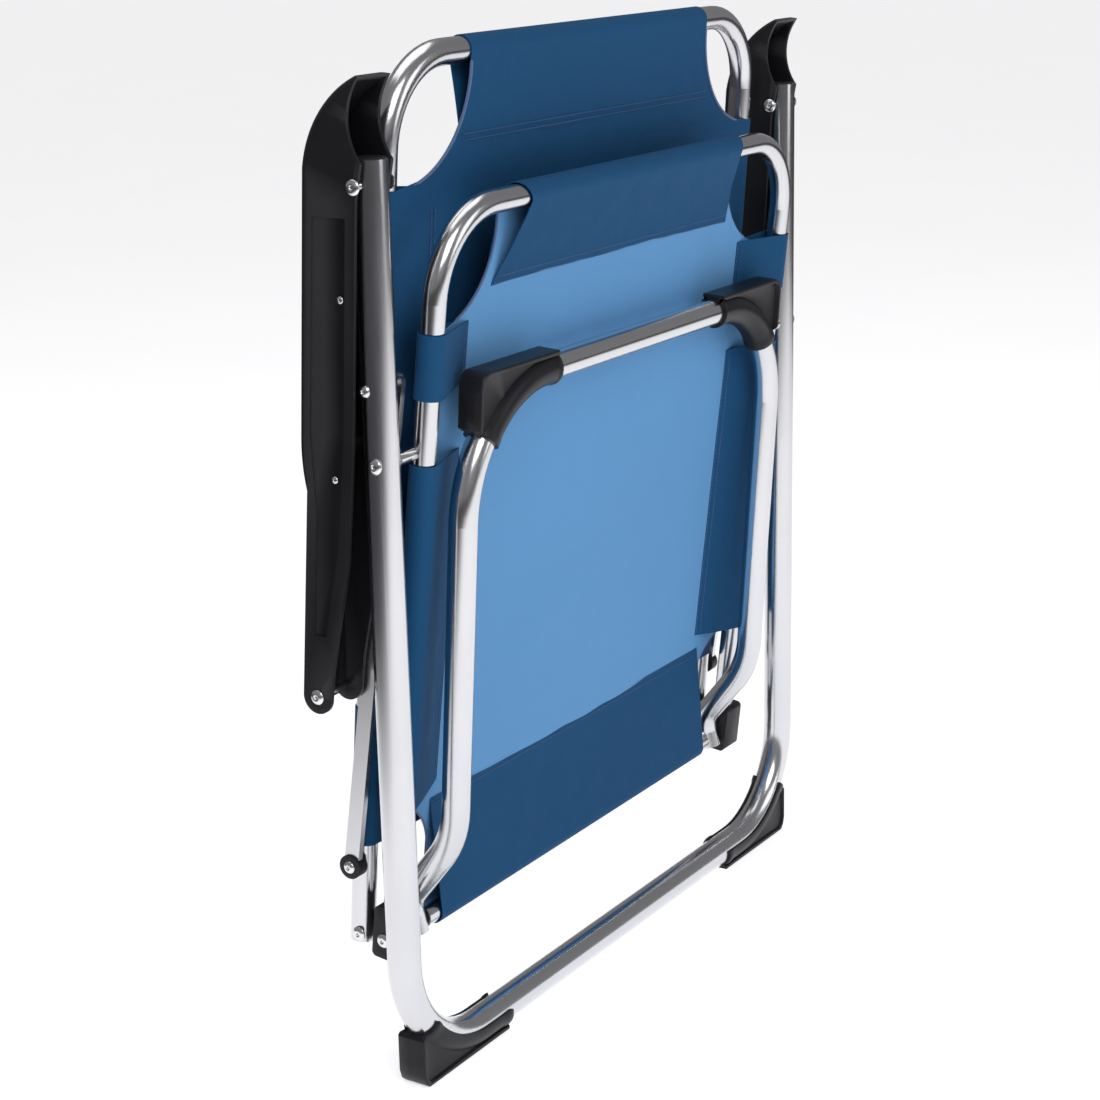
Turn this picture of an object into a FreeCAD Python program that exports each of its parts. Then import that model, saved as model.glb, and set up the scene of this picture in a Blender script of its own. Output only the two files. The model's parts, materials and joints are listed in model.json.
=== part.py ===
import FreeCAD, Part
import math
import os

import Sketcher

# Folding camp chair, modelled folded and standing on its front feet.
# X runs across the chair, +Y is the chair's back, +Z is up, millimetres.
# Every frame is a bent aluminium tube; the seat, the armrests and the two struts
# hang between the front leg frame and the back frame.

os.makedirs("parts", exist_ok=True)
doc = FreeCAD.newDocument("folding_camp_chair")
X_AXIS = FreeCAD.Vector(1, 0, 0)
Y_AXIS = FreeCAD.Vector(0, 1, 0)
Z_AXIS = FreeCAD.Vector(0, 0, 1)
SIDES = {"left": -1, "right": 1}

# ---------------------------------------------------------------- driving dimensions
DIMENSIONS = {
    # the front legs stand this far from the middle of the folded depth
    "stance": -18.3,
    # front leg frame: long U, its bar on the ground side
    "front_half_width": 293.5,
    "front_tube": 25.0,
    "front_wall": 1.4,
    "front_bar_height": 15.5,
    "front_top": 686.0,
    "front_bend": 88.0,
    # rear leg frame: shorter U, upside down while folded; depth is Y, height is Z
    "rear_half_width": 229.0,
    "rear_tube": 21.5,
    "rear_wall": 1.4,
    "rear_bar_depth": -27.0,
    "rear_bar_height": 517.0,
    "rear_knee_depth": -3.0,
    "rear_knee_height": 178.0,
    "rear_heel_depth": 44.0,
    "rear_heel_height": 118.0,
    "rear_bend": 95.0,
    "rear_knee_bend": 75.0,
    "rear_heel_bend": 26.0,
    "rear_tail": 8.5,
    # seat frame: U with its bar at the front edge, and a straight bar at the rear
    "seat_half_width": 254.0,
    "seat_tube": 17.5,
    "seat_wall": 1.3,
    "seat_front_reach": 169.0,
    "seat_leg_reach": 368.0,
    "seat_bar_reach": 381.0,
    "seat_bar_half": 217.5,
    "seat_offset": 4.0,
    "seat_bend": 62.0,
    "seat_tilt": 7.0,
    # back frame: U with its bar at the top
    "back_half_width": 254.0,
    "back_tube": 19.0,
    "back_wall": 1.3,
    "back_reach": 650.0,
    "back_tail": 7.5,
    "back_offset": 3.5,
    "back_bend": 62.0,
    "back_tilt": 4.9,
    # pivots
    "arm_pivot_depth": 0.0,
    "arm_pivot_height": 669.0,
    "seat_pivot_depth": -3.0,
    "seat_pivot_height": 479.0,
    "back_pivot_depth": 64.0,
    "back_pivot_height": 99.5,
    "arm_rear_depth": 52.5,
    "arm_rear_height": 305.5,
    "strut_top_depth": 3.0,
    "strut_top_height": 530.7,
    "strut_foot_depth": 62.0,
    "strut_foot_height": 158.0,
    # pins
    "pin": 5.0,
    "pin_clearance": 0.08,
    "head": 11.5,
    "head_height": 2.4,
    "small_head": 9.0,
    "foot_rivet_head": 10.0,
    "spacer": 9.6,
    "rear_spacer_reach": 6.5,
    # armrests: channels 38 mm wide
    "arm_inner": 274.5,
    "arm_outer": 312.5,
    "arm_wall": 3.0,
    "arm_skin": 3.0,
    "arm_round": 6.0,
    "arm_elbow": 560.0,
    "arm_tail_radius": 12.5,
    "arm_panel_depth": 1.0,
    # struts: flat oval bars
    "strut_inner": 267.4,
    "strut_thickness": 5.0,
    "strut_width": 12.5,
    "cap_wall": 1.6,
    "cap_diameter": 18.7,
    # brackets that join the seat's rear bar, its side tubes, the rear legs and the back
    "bracket_inner": 240.6,
    "bracket_outer": 266.2,
    "bracket_front": -16.8,
    "bracket_depth": 22.8,
    "bracket_below": 15.0,
    "bracket_above": 27.0,
    "bracket_round": 4.0,
    "ear_outer": 244.1,
    "ear_diameter": 18.0,
    "ear_reach": 24.0,
    # feet
    "foot_depth": 34.0,
    "foot_shift": 3.0,
    "foot_lip": 2.0,
    "foot_toe": 7.0,
    "foot_outer": 288.0,
    "foot_inner": 176.0,
    "foot_height": 42.0,
    "shoe_depth": 26.0,
    "shoe_outer": 225.0,
    "shoe_inner": 124.0,
    "shoe_height": 51.0,
    "shoe_skin": 2.2,
    "shoe_sole": 3.5,
    # cloth
    "cloth": 1.4,
    "cloth_gap": 0.3,
    "front_sleeve_half": 166.0,
    "front_sleeve_seam": 66.0,
    "rear_band_half": 204.0,
    "rear_band_seam": 96.0,
    "seat_side_seam": 57.0,
    "back_side_seam": 50.0,
    "seat_side_low": -276.0,
    "seat_gap_low": -8.0,
    "seat_gap_high": 39.0,
    "seat_side_high": 86.0,
    "back_side_low": 73.0,
    "back_gap_low": 182.0,
    "back_gap_high": 240.0,
    "back_side_high": 562.0,
    "panel_gap": 0.4,
    "head_sleeve_half": 172.0,
    "head_sleeve_seam": 64.0,
}

sheet = doc.addObject("Spreadsheet::Sheet", "dimensions")
for row, (alias, number) in enumerate(DIMENSIONS.items(), start=1):
    sheet.set("A%d" % row, alias)
    sheet.set("B%d" % row, str(number))
    sheet.setAlias("B%d" % row, alias)
doc.recompute()


def size(alias):
    return float(sheet.get(alias))


def bind(thing, prop, formula):
    thing.setExpression(prop, formula)


kept = []


def keep(thing, label):
    thing.Label = label
    kept.append(thing)
    return thing


def plane(body, role):
    for feature in body.Origin.OriginFeatures:
        if feature.Role == role:
            return feature
    raise RuntimeError("no plane " + role)


def tilted(depth, height, degrees):
    """Frame at a pivot whose +Z leans towards the front (-Y) by some degrees."""
    return FreeCAD.Placement(FreeCAD.Vector(0, depth, height), FreeCAD.Rotation(X_AXIS, degrees))


front_frame = FreeCAD.Placement()
seat_frame = tilted(size("seat_pivot_depth"), size("seat_pivot_height"), size("seat_tilt"))
back_frame = tilted(size("back_pivot_depth"), size("back_pivot_height"), size("back_tilt"))


# ---------------------------------------------------------------- bent tubes
def evaluate(formula):
    """Value of a formula written in the sheet's aliases."""
    scratch = doc.getObject("formula_reader") or doc.addObject("App::FeaturePython", "formula_reader")
    if "number" not in scratch.PropertiesList:
        scratch.addProperty("App::PropertyFloat", "number")
    scratch.setExpression("number", formula)
    scratch.recompute()
    return scratch.number


def u_tube(name, half, leg_end, bar, bend, tube, wall, offset, placement):
    """PartDesign body: a U of tube in the XZ plane, all arguments are formulas."""
    body = doc.addObject("PartDesign::Body", name)
    path = body.newObject("Sketcher::SketchObject", name + "_path")
    path.AttachmentSupport = [(plane(body, "XZ_Plane"), "")]
    path.MapMode = "FlatFace"
    half_n, end_n, bar_n, bend_n = [evaluate(text) for text in (half, leg_end, bar, bend)]
    up = 1 if end_n > bar_n else -1

    def at(x, z):
        return FreeCAD.Vector(x, z, 0)

    def corner(side):
        centre = at(side * (half_n - bend_n), bar_n + up * bend_n)
        low = math.radians(180 if side < 0 else 270)
        if up < 0:
            low = math.radians(90 if side < 0 else 0)
        return Part.ArcOfCircle(Part.Circle(centre, Z_AXIS, bend_n), low, low + math.pi / 2)

    left = path.addGeometry(Part.LineSegment(at(-half_n, end_n), at(-half_n, bar_n + up * bend_n)))
    left_arc = path.addGeometry(corner(-1))
    across = path.addGeometry(Part.LineSegment(at(-half_n + bend_n, bar_n), at(half_n - bend_n, bar_n)))
    right_arc = path.addGeometry(corner(1))
    right = path.addGeometry(Part.LineSegment(at(half_n, bar_n + up * bend_n), at(half_n, end_n)))
    start, stop = (1, 2) if up > 0 else (2, 1)
    rules = [
        ("Tangent", left, 2, left_arc, start),
        ("Tangent", left_arc, stop, across, 1),
        ("Tangent", across, 2, right_arc, start),
        ("Tangent", right_arc, stop, right, 1),
        ("Vertical", left),
        ("Vertical", right),
        ("Horizontal", across),
        ("Equal", left_arc, right_arc),
    ]
    for rule in rules:
        path.addConstraint(Sketcher.Constraint(*rule))
    bend_rule = path.addConstraint(Sketcher.Constraint("Radius", left_arc, bend_n))
    left_rule = path.addConstraint(Sketcher.Constraint("DistanceX", left, 1, -1, 1, half_n))
    right_rule = path.addConstraint(Sketcher.Constraint("DistanceX", -1, 1, right, 2, half_n))
    bind(path, "Constraints[%d]" % bend_rule, bend)
    bind(path, "Constraints[%d]" % left_rule, half)
    bind(path, "Constraints[%d]" % right_rule, half)
    heights = ((left, 1, leg_end, end_n), (right, 2, leg_end, end_n), (across, 1, bar, bar_n))
    for geometry, point, text, number in heights:
        if number >= 0:
            rule = path.addConstraint(Sketcher.Constraint("DistanceY", -1, 1, geometry, point, number))
            bind(path, "Constraints[%d]" % rule, text)
        else:
            rule = path.addConstraint(Sketcher.Constraint("DistanceY", geometry, point, -1, 1, -number))
            bind(path, "Constraints[%d]" % rule, "-(%s)" % text)

    ring = body.newObject("Sketcher::SketchObject", name + "_ring")
    ring.AttachmentSupport = [(plane(body, "XY_Plane"), "")]
    ring.MapMode = "FlatFace"
    bind(ring, "AttachmentOffset.Base.z", leg_end)
    outer_n = evaluate(tube) / 2
    outside = (outer_n, "(%s) / 2" % tube)
    inside = (outer_n - evaluate(wall), "(%s) / 2 - (%s)" % (tube, wall))
    for radius, formula in (outside, inside):
        circle = ring.addGeometry(Part.Circle(FreeCAD.Vector(-half_n, 0, 0), Z_AXIS, radius))
        rule = ring.addConstraint(Sketcher.Constraint("Radius", circle, radius))
        bind(ring, "Constraints[%d]" % rule, formula)
        rule = ring.addConstraint(Sketcher.Constraint("DistanceX", circle, 3, -1, 1, half_n))
        bind(ring, "Constraints[%d]" % rule, half)
        ring.addConstraint(Sketcher.Constraint("PointOnObject", circle, 3, -1))
    doc.recompute()
    pipe = body.newObject("PartDesign::AdditivePipe", name + "_pipe")
    pipe.Profile = ring
    pipe.Spine = (path, ["Edge%d" % number for number in range(1, 6)])
    body.Tip = pipe
    set_back = FreeCAD.Placement(FreeCAD.Vector(0, evaluate(offset), 0), FreeCAD.Rotation())
    body.Placement = placement.multiply(set_back)
    doc.recompute()
    return body


def bent_wire(points, radii):
    """Wire through points, each inner corner rounded by its radius."""
    edges = []
    start = points[0]
    for corner, after, radius in zip(points[1:-1], points[2:], radii):
        into = (corner - start).normalize()
        out = (after - corner).normalize()
        turn = into.getAngle(out)
        tangent = radius * math.tan(turn / 2)
        first = corner - into * tangent
        last = corner + out * tangent
        inward = (out - into).normalize()
        middle = corner + inward * (radius / math.cos(turn / 2) - radius)
        edges.append(Part.makeLine(start, first))
        edges.append(Part.Arc(first, middle, last).toShape())
        start = last
    edges.append(Part.makeLine(start, points[-1]))
    return Part.Wire(edges)


def rod(points, radii, diameter):
    """Solid round rod along a rounded route."""
    direction = points[1] - points[0]
    ring = Part.Wire(Part.Circle(points[0], direction, diameter / 2).toShape())
    return bent_wire(points, radii).makePipeShell([ring], True, False)


def rear_leg_route():
    """Route of the rear leg frame from one pivot end up, across and down again."""
    pivot = FreeCAD.Vector(0, rear_axis.y, rear_axis.z)
    heel = FreeCAD.Vector(0, size("rear_heel_depth"), size("rear_heel_height"))
    knee = FreeCAD.Vector(0, size("rear_knee_depth"), size("rear_knee_height"))
    top = FreeCAD.Vector(0, size("rear_bar_depth"), size("rear_bar_height"))
    tail = pivot + (pivot - heel).normalize() * size("rear_tail")
    one_leg = [tail, heel, knee, top]
    shift = FreeCAD.Vector(size("rear_half_width"), 0, 0)
    return [point - shift for point in one_leg] + [point + shift for point in reversed(one_leg)]


def feature(label, shape):
    part = doc.addObject("Part::Feature", label)
    part.Shape = shape
    return keep(part, label)


def across(half_from, half_to, depth, height, diameter, side=1):
    """Cylinder along X between two distances from the chair's middle."""
    start = FreeCAD.Vector(side * half_from, depth, height)
    direction = FreeCAD.Vector(side, 0, 0)
    return Part.makeCylinder(diameter / 2, half_to - half_from, start, direction)


def rivet(side, inner, outer, spot, heads, head=None):
    """Rivet along X; heads names the ends that carry a chamfered head."""
    head = head or size("head")
    shape = across(inner, outer, spot.y, spot.z, size("pin"), side)
    rise = size("head_height")
    for end in heads:
        base = outer if end == "outer" else inner
        way = side if end == "outer" else -side
        centre = FreeCAD.Vector(side * base, spot.y, spot.z)
        cap = Part.makeCone(head / 2, head / 2 - rise * 0.9, rise, centre, FreeCAD.Vector(way, 0, 0))
        shape = shape.fuse(cap)
    return shape.removeSplitter()


def group(label, shapes):
    return feature(label, Part.makeCompound(shapes))


def point_yz(depth, height):
    return FreeCAD.Vector(0, depth, height)


arm_pivot = point_yz(size("arm_pivot_depth"), size("arm_pivot_height"))
seat_pivot = point_yz(size("seat_pivot_depth"), size("seat_pivot_height"))
back_pivot = point_yz(size("back_pivot_depth"), size("back_pivot_height"))
arm_rear = point_yz(size("arm_rear_depth"), size("arm_rear_height"))
strut_top = point_yz(size("strut_top_depth"), size("strut_top_height"))
strut_foot = point_yz(size("strut_foot_depth"), size("strut_foot_height"))
rear_axis = seat_frame.multVec(FreeCAD.Vector(0, -size("seat_offset"), -size("seat_bar_reach")))
hole = size("pin") + 2 * size("pin_clearance")


def bore_pair(inner, outer, spot, diameter):
    """Both sides' drillings along X at one pivot."""
    return Part.makeCompound([across(inner, outer, spot.y, spot.z, diameter, side) for side in (-1, 1)])


def drilled(label, base, drill_shapes):
    """Sub-part made of a base object less its drillings."""
    tool = doc.addObject("Part::Feature", label + "_drillings")
    tool.Shape = Part.makeCompound(drill_shapes)
    cut = doc.addObject("Part::Cut", label)
    cut.Base = base
    cut.Tool = tool
    return keep(cut, label)


# ---------------------------------------------------------------- front leg frame
front_tube_body = u_tube(
    "front_leg_tube",
    "dimensions.front_half_width",
    "dimensions.front_top",
    "dimensions.front_bar_height",
    "dimensions.front_bend",
    "dimensions.front_tube",
    "dimensions.front_wall",
    "0 * dimensions.front_wall",
    front_frame,
)
tube_inner = size("front_half_width") - size("front_tube") / 2
tube_outer = size("front_half_width") + size("front_tube") / 2
through_front = (tube_inner - 2, tube_outer + 2)
drilled(
    "front_leg_frame",
    front_tube_body,
    [
        bore_pair(*through_front, arm_pivot, size("pin")),
        bore_pair(*through_front, seat_pivot, size("pin")),
        bore_pair(*through_front, strut_top, size("pin")),
    ],
)


# ---------------------------------------------------------------- feet and shoes
def corner_shoe(side, shape, upside=False):
    """Moulded elbow over a tube corner: flat sole, sharp outer corner, curved inside.

    shape holds outer, inner, height, depth, shift, sole, leg, bend, bar and reach: reach is
    the inside curve's radius about the bend's centre, and heights are measured from the sole.
    """
    way = -1 if upside else 1

    def at(x, rise):
        return FreeCAD.Vector(side * x, shape["shift"] - shape["depth"] / 2, shape["sole"] + way * rise)

    bend_x = shape["leg"] - shape["bend"]
    bend_rise = shape["bar"] + shape["bend"]
    reach = shape["reach"]
    low_rise = bend_rise - reach
    height = shape["height"]
    outer = shape["outer"]
    turn = math.asin(min((bend_rise - height) / reach, 1.0)) if height < bend_rise else 0.0
    swing = turn / 2 + math.pi / 4
    top = at(bend_x + reach * math.cos(turn), bend_rise - reach * math.sin(turn))
    middle = at(bend_x + reach * math.cos(swing), bend_rise - reach * math.sin(swing))
    toe = size("foot_toe")
    corners = [at(bend_x, low_rise), at(shape["inner"], low_rise), at(shape["inner"], 0)]
    corners += [at(outer - toe, 0), at(outer, toe), at(outer, height)]
    if height > bend_rise:
        corners.append(at(bend_x + reach, height))
    corners.append(top)
    edges = [Part.makeLine(start, stop) for start, stop in zip(corners, corners[1:])]
    edges.append(Part.Arc(top, middle, corners[0]).toShape())
    return Part.Face(Part.Wire(edges)).extrude(FreeCAD.Vector(0, shape["depth"], 0))


front_route = [
    FreeCAD.Vector(-size("front_half_width"), 0, size("front_top")),
    FreeCAD.Vector(-size("front_half_width"), 0, size("front_bar_height")),
    FreeCAD.Vector(size("front_half_width"), 0, size("front_bar_height")),
    FreeCAD.Vector(size("front_half_width"), 0, size("front_top")),
]
front_core = rod(front_route, [size("front_bend")] * 2, size("front_tube"))
front_foot_shape = {
    "outer": size("foot_outer"),
    "inner": size("foot_inner"),
    "height": size("foot_height"),
    "depth": size("foot_depth"),
    "shift": size("foot_shift"),
    "sole": 0.0,
    "leg": size("front_half_width"),
    "bend": size("front_bend"),
    "bar": size("front_bar_height"),
    "reach": size("front_bend") - size("foot_lip"),
}
for name, side in SIDES.items():
    feature("front_foot_" + name, corner_shoe(side, front_foot_shape).cut(front_core))


# ---------------------------------------------------------------- rear leg frame
rear_route = rear_leg_route()
rear_radii = [
    size("rear_heel_bend"),
    size("rear_knee_bend"),
    size("rear_bend"),
    size("rear_bend"),
    size("rear_knee_bend"),
    size("rear_heel_bend"),
]
rear_core = rod(rear_route, rear_radii, size("rear_tube"))
rear_hollow = rod(rear_route, rear_radii, size("rear_tube") - 2 * size("rear_wall"))
rear_inner = size("rear_half_width") - size("rear_tube") / 2
rear_outer = size("rear_half_width") + size("rear_tube") / 2
rear_bore = bore_pair(rear_inner - 2, rear_outer + 2, rear_axis, hole)
feature("rear_leg_frame", rear_core.cut(rear_hollow).cut(rear_bore))

rear_lean = math.degrees(
    math.atan2(
        size("rear_knee_depth") - size("rear_bar_depth"),
        size("rear_bar_height") - size("rear_knee_height"),
    )
)
rear_top = point_yz(size("rear_bar_depth"), size("rear_bar_height"))
sole_rise = size("rear_tube") / 2 + size("shoe_sole")
shoe_frame = tilted(rear_top.y, rear_top.z, rear_lean)
rear_shoe_shape = {
    "outer": size("shoe_outer"),
    "inner": size("shoe_inner"),
    "height": size("shoe_height"),
    "depth": size("shoe_depth"),
    "shift": 0.0,
    "sole": sole_rise,
    "leg": size("rear_half_width"),
    "bend": size("rear_bend"),
    "bar": sole_rise,
    "reach": size("rear_bend") - size("rear_tube") / 2 - size("shoe_skin"),
}
for name, side in SIDES.items():
    block = corner_shoe(side, rear_shoe_shape, upside=True)
    block.Placement = shoe_frame
    feature("rear_foot_" + name, block.cut(rear_core))


# ---------------------------------------------------------------- seat frame
seat_tube_body = u_tube(
    "seat_tube",
    "dimensions.seat_half_width",
    "-dimensions.seat_leg_reach",
    "dimensions.seat_front_reach",
    "dimensions.seat_bend",
    "dimensions.seat_tube",
    "dimensions.seat_wall",
    "-dimensions.seat_offset",
    seat_frame,
)
seat_inner = size("seat_half_width") - size("seat_tube") / 2
seat_outer = size("seat_half_width") + size("seat_tube") / 2
drilled("seat_frame", seat_tube_body, [bore_pair(seat_inner - 2, seat_outer + 2, seat_pivot, hole)])

bar = doc.addObject("Part::Cylinder", "rear_bar_outside")
bind(bar, "Radius", "dimensions.seat_tube / 2")
bind(bar, "Height", "2 * dimensions.seat_bar_half")
bore = doc.addObject("Part::Cylinder", "rear_bar_inside")
bind(bore, "Radius", "dimensions.seat_tube / 2 - dimensions.seat_wall")
bind(bore, "Height", "2 * dimensions.seat_bar_half")
seat_rear_bar = doc.addObject("Part::Cut", "seat_rear_bar")
seat_rear_bar.Base = bar
seat_rear_bar.Tool = bore
seat_rear_bar.Placement = FreeCAD.Placement(
    FreeCAD.Vector(-size("seat_bar_half"), rear_axis.y, rear_axis.z),
    FreeCAD.Rotation(Y_AXIS, 90),
)
keep(seat_rear_bar, "seat_rear_bar")


def in_seat(shape):
    shape.Placement = seat_frame.multiply(shape.Placement)
    return shape


bracket_inner = size("bracket_inner")
bracket_outer = size("bracket_outer")
ear_outer = size("ear_outer")


def bracket(side):
    """Block on the end of a seat side tube, with an ear on its inner face for the back's pivot."""
    low = -size("seat_bar_reach") - size("bracket_below")
    high = -size("seat_bar_reach") + size("bracket_above")
    width = bracket_outer - bracket_inner
    corner = FreeCAD.Vector(min(side * bracket_inner, side * bracket_outer), size("bracket_front"), low)
    block = Part.makeBox(width, size("bracket_depth"), high - low, corner)
    long_edges = [edge for edge in block.Edges if abs(edge.Length - width) < 0.01]
    block = in_seat(block.makeFillet(size("bracket_round"), long_edges))
    ear = across(bracket_inner, ear_outer, back_pivot.y, back_pivot.z, size("ear_diameter"), side)
    ear_x = min(side * bracket_inner, side * ear_outer)
    web_corner = FreeCAD.Vector(
        ear_x, back_pivot.y - size("ear_reach"), back_pivot.z - size("ear_diameter") / 2
    )
    web = Part.makeBox(ear_outer - bracket_inner, size("ear_reach"), size("ear_diameter"), web_corner)
    socket_foot = FreeCAD.Vector(
        side * size("seat_half_width"), -size("seat_offset"), -size("seat_leg_reach")
    )
    socket = in_seat(Part.makeCylinder(size("seat_tube") / 2, size("seat_leg_reach"), socket_foot))
    drill = across(bracket_inner - 1, bracket_outer + 1, rear_axis.y, rear_axis.z, size("pin"), side)
    ear_drill = across(bracket_inner - 1, ear_outer + 1, back_pivot.y, back_pivot.z, size("pin"), side)
    return block.fuse(ear.fuse(web)).cut(socket).cut(drill).cut(ear_drill).removeSplitter()


for name, side in SIDES.items():
    feature("seat_bracket_" + name, bracket(side))


# ---------------------------------------------------------------- back frame
back_tube_body = u_tube(
    "back_tube",
    "dimensions.back_half_width",
    "-dimensions.back_tail",
    "dimensions.back_reach",
    "dimensions.back_bend",
    "dimensions.back_tube",
    "dimensions.back_wall",
    "dimensions.back_offset",
    back_frame,
)
back_inner = size("back_half_width") - size("back_tube") / 2
back_outer = size("back_half_width") + size("back_tube") / 2
drilled("back_frame", back_tube_body, [bore_pair(back_inner - 2, back_outer + 2, back_pivot, hole)])


# ---------------------------------------------------------------- armrests
def arm_profile(x, shift_y=0.0, shift_z=0.0, tail_drop=0.0):
    """Side outline of an armrest: hooked nose, deep grip, slim round tail."""

    def at(depth, height):
        return FreeCAD.Vector(x, depth + shift_y, height + shift_z)

    tail_radius = size("arm_tail_radius")
    tail = arm_rear
    low = tail.z - tail_drop
    edges = [
        Part.Arc(at(-7, 740), at(3.5, 711), at(-6, 684)).toShape(),
        Part.makeLine(at(-6, 684), at(-1, 660)),
        Part.makeLine(at(-1, 660), at(10.5, 491)),
        Part.makeLine(at(10.5, 491), at(19, 408)),
        Part.makeLine(at(19, 408), at(tail.y - tail_radius - 3, tail.z + 22)),
        Part.makeLine(at(tail.y - tail_radius - 3, tail.z + 22), at(tail.y - tail_radius, low)),
        Part.Arc(
            at(tail.y - tail_radius, low),
            at(tail.y, low - tail_radius),
            at(tail.y + tail_radius, low),
        ).toShape(),
        Part.makeLine(at(tail.y + tail_radius, low), at(53, 447)),
        Part.Arc(at(53, 447), at(57.5, 470), at(58, 494)).toShape(),
        Part.makeLine(at(58, 494), at(45, 680)),
        Part.Arc(at(45, 680), at(29, 717), at(-2, 741)).toShape(),
        Part.makeLine(at(-2, 741), at(-7, 740)),
    ]
    return Part.Face(Part.Wire(edges))


def arm_panel(x):
    """Outline of the shallow panel moulded into an armrest's outer wall."""
    corners = [(8, 648), (36, 648), (47, 500), (45, 440), (52, 352), (42, 352), (27, 420), (18, 500)]
    points = [FreeCAD.Vector(x, depth, height) for depth, height in corners]
    return Part.Face(Part.makePolygon(points + points[:1]))


def rounded_back(shape, radius):
    """Round the long edges along the armrest's back, above its elbow, and over its nose."""
    edges = []
    for edge in shape.Edges:
        middle = edge.valueAt((edge.FirstParameter + edge.LastParameter) / 2)
        along_x = abs(edge.tangentAt(edge.FirstParameter).x) > 0.9
        if not along_x and middle.z > size("arm_elbow") and middle.y > size("front_tube") / 2:
            edges.append(edge)
    return shape.makeFillet(radius, edges)


def armrest(side):
    """Channel open to the front, hollow down to its tail."""
    inner = side * size("arm_inner")
    outer = side * size("arm_outer")
    start = min(inner, outer)
    skin = size("arm_skin")
    width = size("arm_outer") - size("arm_inner")
    room = FreeCAD.Vector(width - 2 * size("arm_wall"), 0, 0)
    hollow_x = start + size("arm_wall")
    past_front = size("front_tube") / 2
    past_tail = 20.0
    shape = rounded_back(arm_profile(start).extrude(FreeCAD.Vector(width, 0, 0)), size("arm_round"))
    shape = shape.cut(arm_profile(hollow_x, -skin, -skin, past_tail).extrude(room))
    shape = shape.cut(arm_profile(hollow_x, -past_front, -skin, past_tail).extrude(room))
    shape = shape.cut(arm_panel(outer).extrude(FreeCAD.Vector(-side * size("arm_panel_depth"), 0, 0)))
    reach = (size("arm_inner") - 1, size("arm_outer") + 1)
    shape = shape.cut(across(*reach, arm_pivot.y, arm_pivot.z, hole, side))
    return shape.cut(across(*reach, arm_rear.y, arm_rear.z, size("pin"), side))


for name, side in SIDES.items():
    feature("armrest_" + name, armrest(side))


# ---------------------------------------------------------------- struts
def strut(side):
    """Flat oval bar between the front leg and the back frame."""
    along = strut_foot - strut_top
    length = along.Length
    sideways = X_AXIS.cross(along).normalize()
    half = sideways * (size("strut_width") / 2)
    near = side * size("strut_inner")
    far = near + side * size("strut_thickness")
    base = FreeCAD.Vector(min(near, far), 0, 0)
    end = along * (1 / length) * (size("strut_width") / 2)
    edges = [
        Part.makeLine(base + strut_top + half, base + strut_foot + half),
        Part.Arc(base + strut_foot + half, base + strut_foot + end, base + strut_foot - half).toShape(),
        Part.makeLine(base + strut_foot - half, base + strut_top - half),
        Part.Arc(base + strut_top - half, base + strut_top - end, base + strut_top + half).toShape(),
    ]
    return Part.Face(Part.Wire(edges)).extrude(FreeCAD.Vector(size("strut_thickness"), 0, 0))


strut_outer = size("strut_inner") + size("strut_thickness")
cap_wall = size("cap_wall")
cap_faces = (size("strut_inner") - 2 * cap_wall, strut_outer + cap_wall)
for name, side in SIDES.items():
    bar_shape = strut(side)
    top_bore = across(size("strut_inner") - 1, strut_outer + 1, strut_top.y, strut_top.z, hole, side)
    foot_bore = across(cap_faces[0] - 1, cap_faces[1] + 1, strut_foot.y, strut_foot.z, size("pin"), side)
    feature("strut_" + name, bar_shape.cut(top_bore).cut(foot_bore))
    cap = across(*cap_faces, strut_foot.y, strut_foot.z, size("cap_diameter"), side)
    feature("strut_cap_" + name, cap.cut(bar_shape).cut(foot_bore))


# ---------------------------------------------------------------- pins and spacers
def spacer(side, inner, outer, spot):
    """Plain round spacer on a pin."""
    ring = across(inner, outer, spot.y, spot.z, size("spacer"), side)
    return ring.cut(across(inner - 1, outer + 1, spot.y, spot.z, size("pin"), side))


BOTH_ENDS = ["outer", "inner"]
ONE_END = ["outer"]
head_clear = 0.4
arm_pins = []
seat_bolts = []
seat_spacers = []
strut_pins = []
back_pins = []
rear_pins = []
for name, side in SIDES.items():
    arm_faces = (size("arm_inner") - head_clear, size("arm_outer") + head_clear)
    arm_pins.append(rivet(side, *arm_faces, arm_pivot, BOTH_ENDS))
    seat_bolts.append(rivet(side, seat_inner - head_clear, tube_outer, seat_pivot, BOTH_ENDS))
    seat_spacers.append(spacer(side, seat_outer + head_clear, tube_inner, seat_pivot))
    strut_faces = (size("strut_inner") - head_clear, tube_outer)
    strut_pins.append(rivet(side, *strut_faces, strut_top, BOTH_ENDS, size("small_head")))
    back_pins.append(rivet(side, bracket_inner, back_outer + head_clear, back_pivot, ONE_END))
    rear_pins.append(rivet(side, size("seat_bar_half"), bracket_outer, rear_axis, ONE_END))
    foot_pin = rivet(side, *cap_faces, strut_foot, ONE_END, size("foot_rivet_head"))
    feature("strut_foot_rivet_" + name, foot_pin)
    stub = size("arm_inner") - size("rear_spacer_reach")
    feature("armrest_rear_rivet_" + name, rivet(side, stub, size("arm_outer"), arm_rear, ONE_END))
    feature("armrest_rear_spacer_" + name, spacer(side, stub, size("arm_inner"), arm_rear))

group("armrest_front_rivets", arm_pins)
group("seat_pivot_bolts", seat_bolts)
group("seat_pivot_spacers", seat_spacers)
group("strut_top_rivets", strut_pins)
group("back_pivot_pins", back_pins)
group("rear_axle_bolts", rear_pins)


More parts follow.
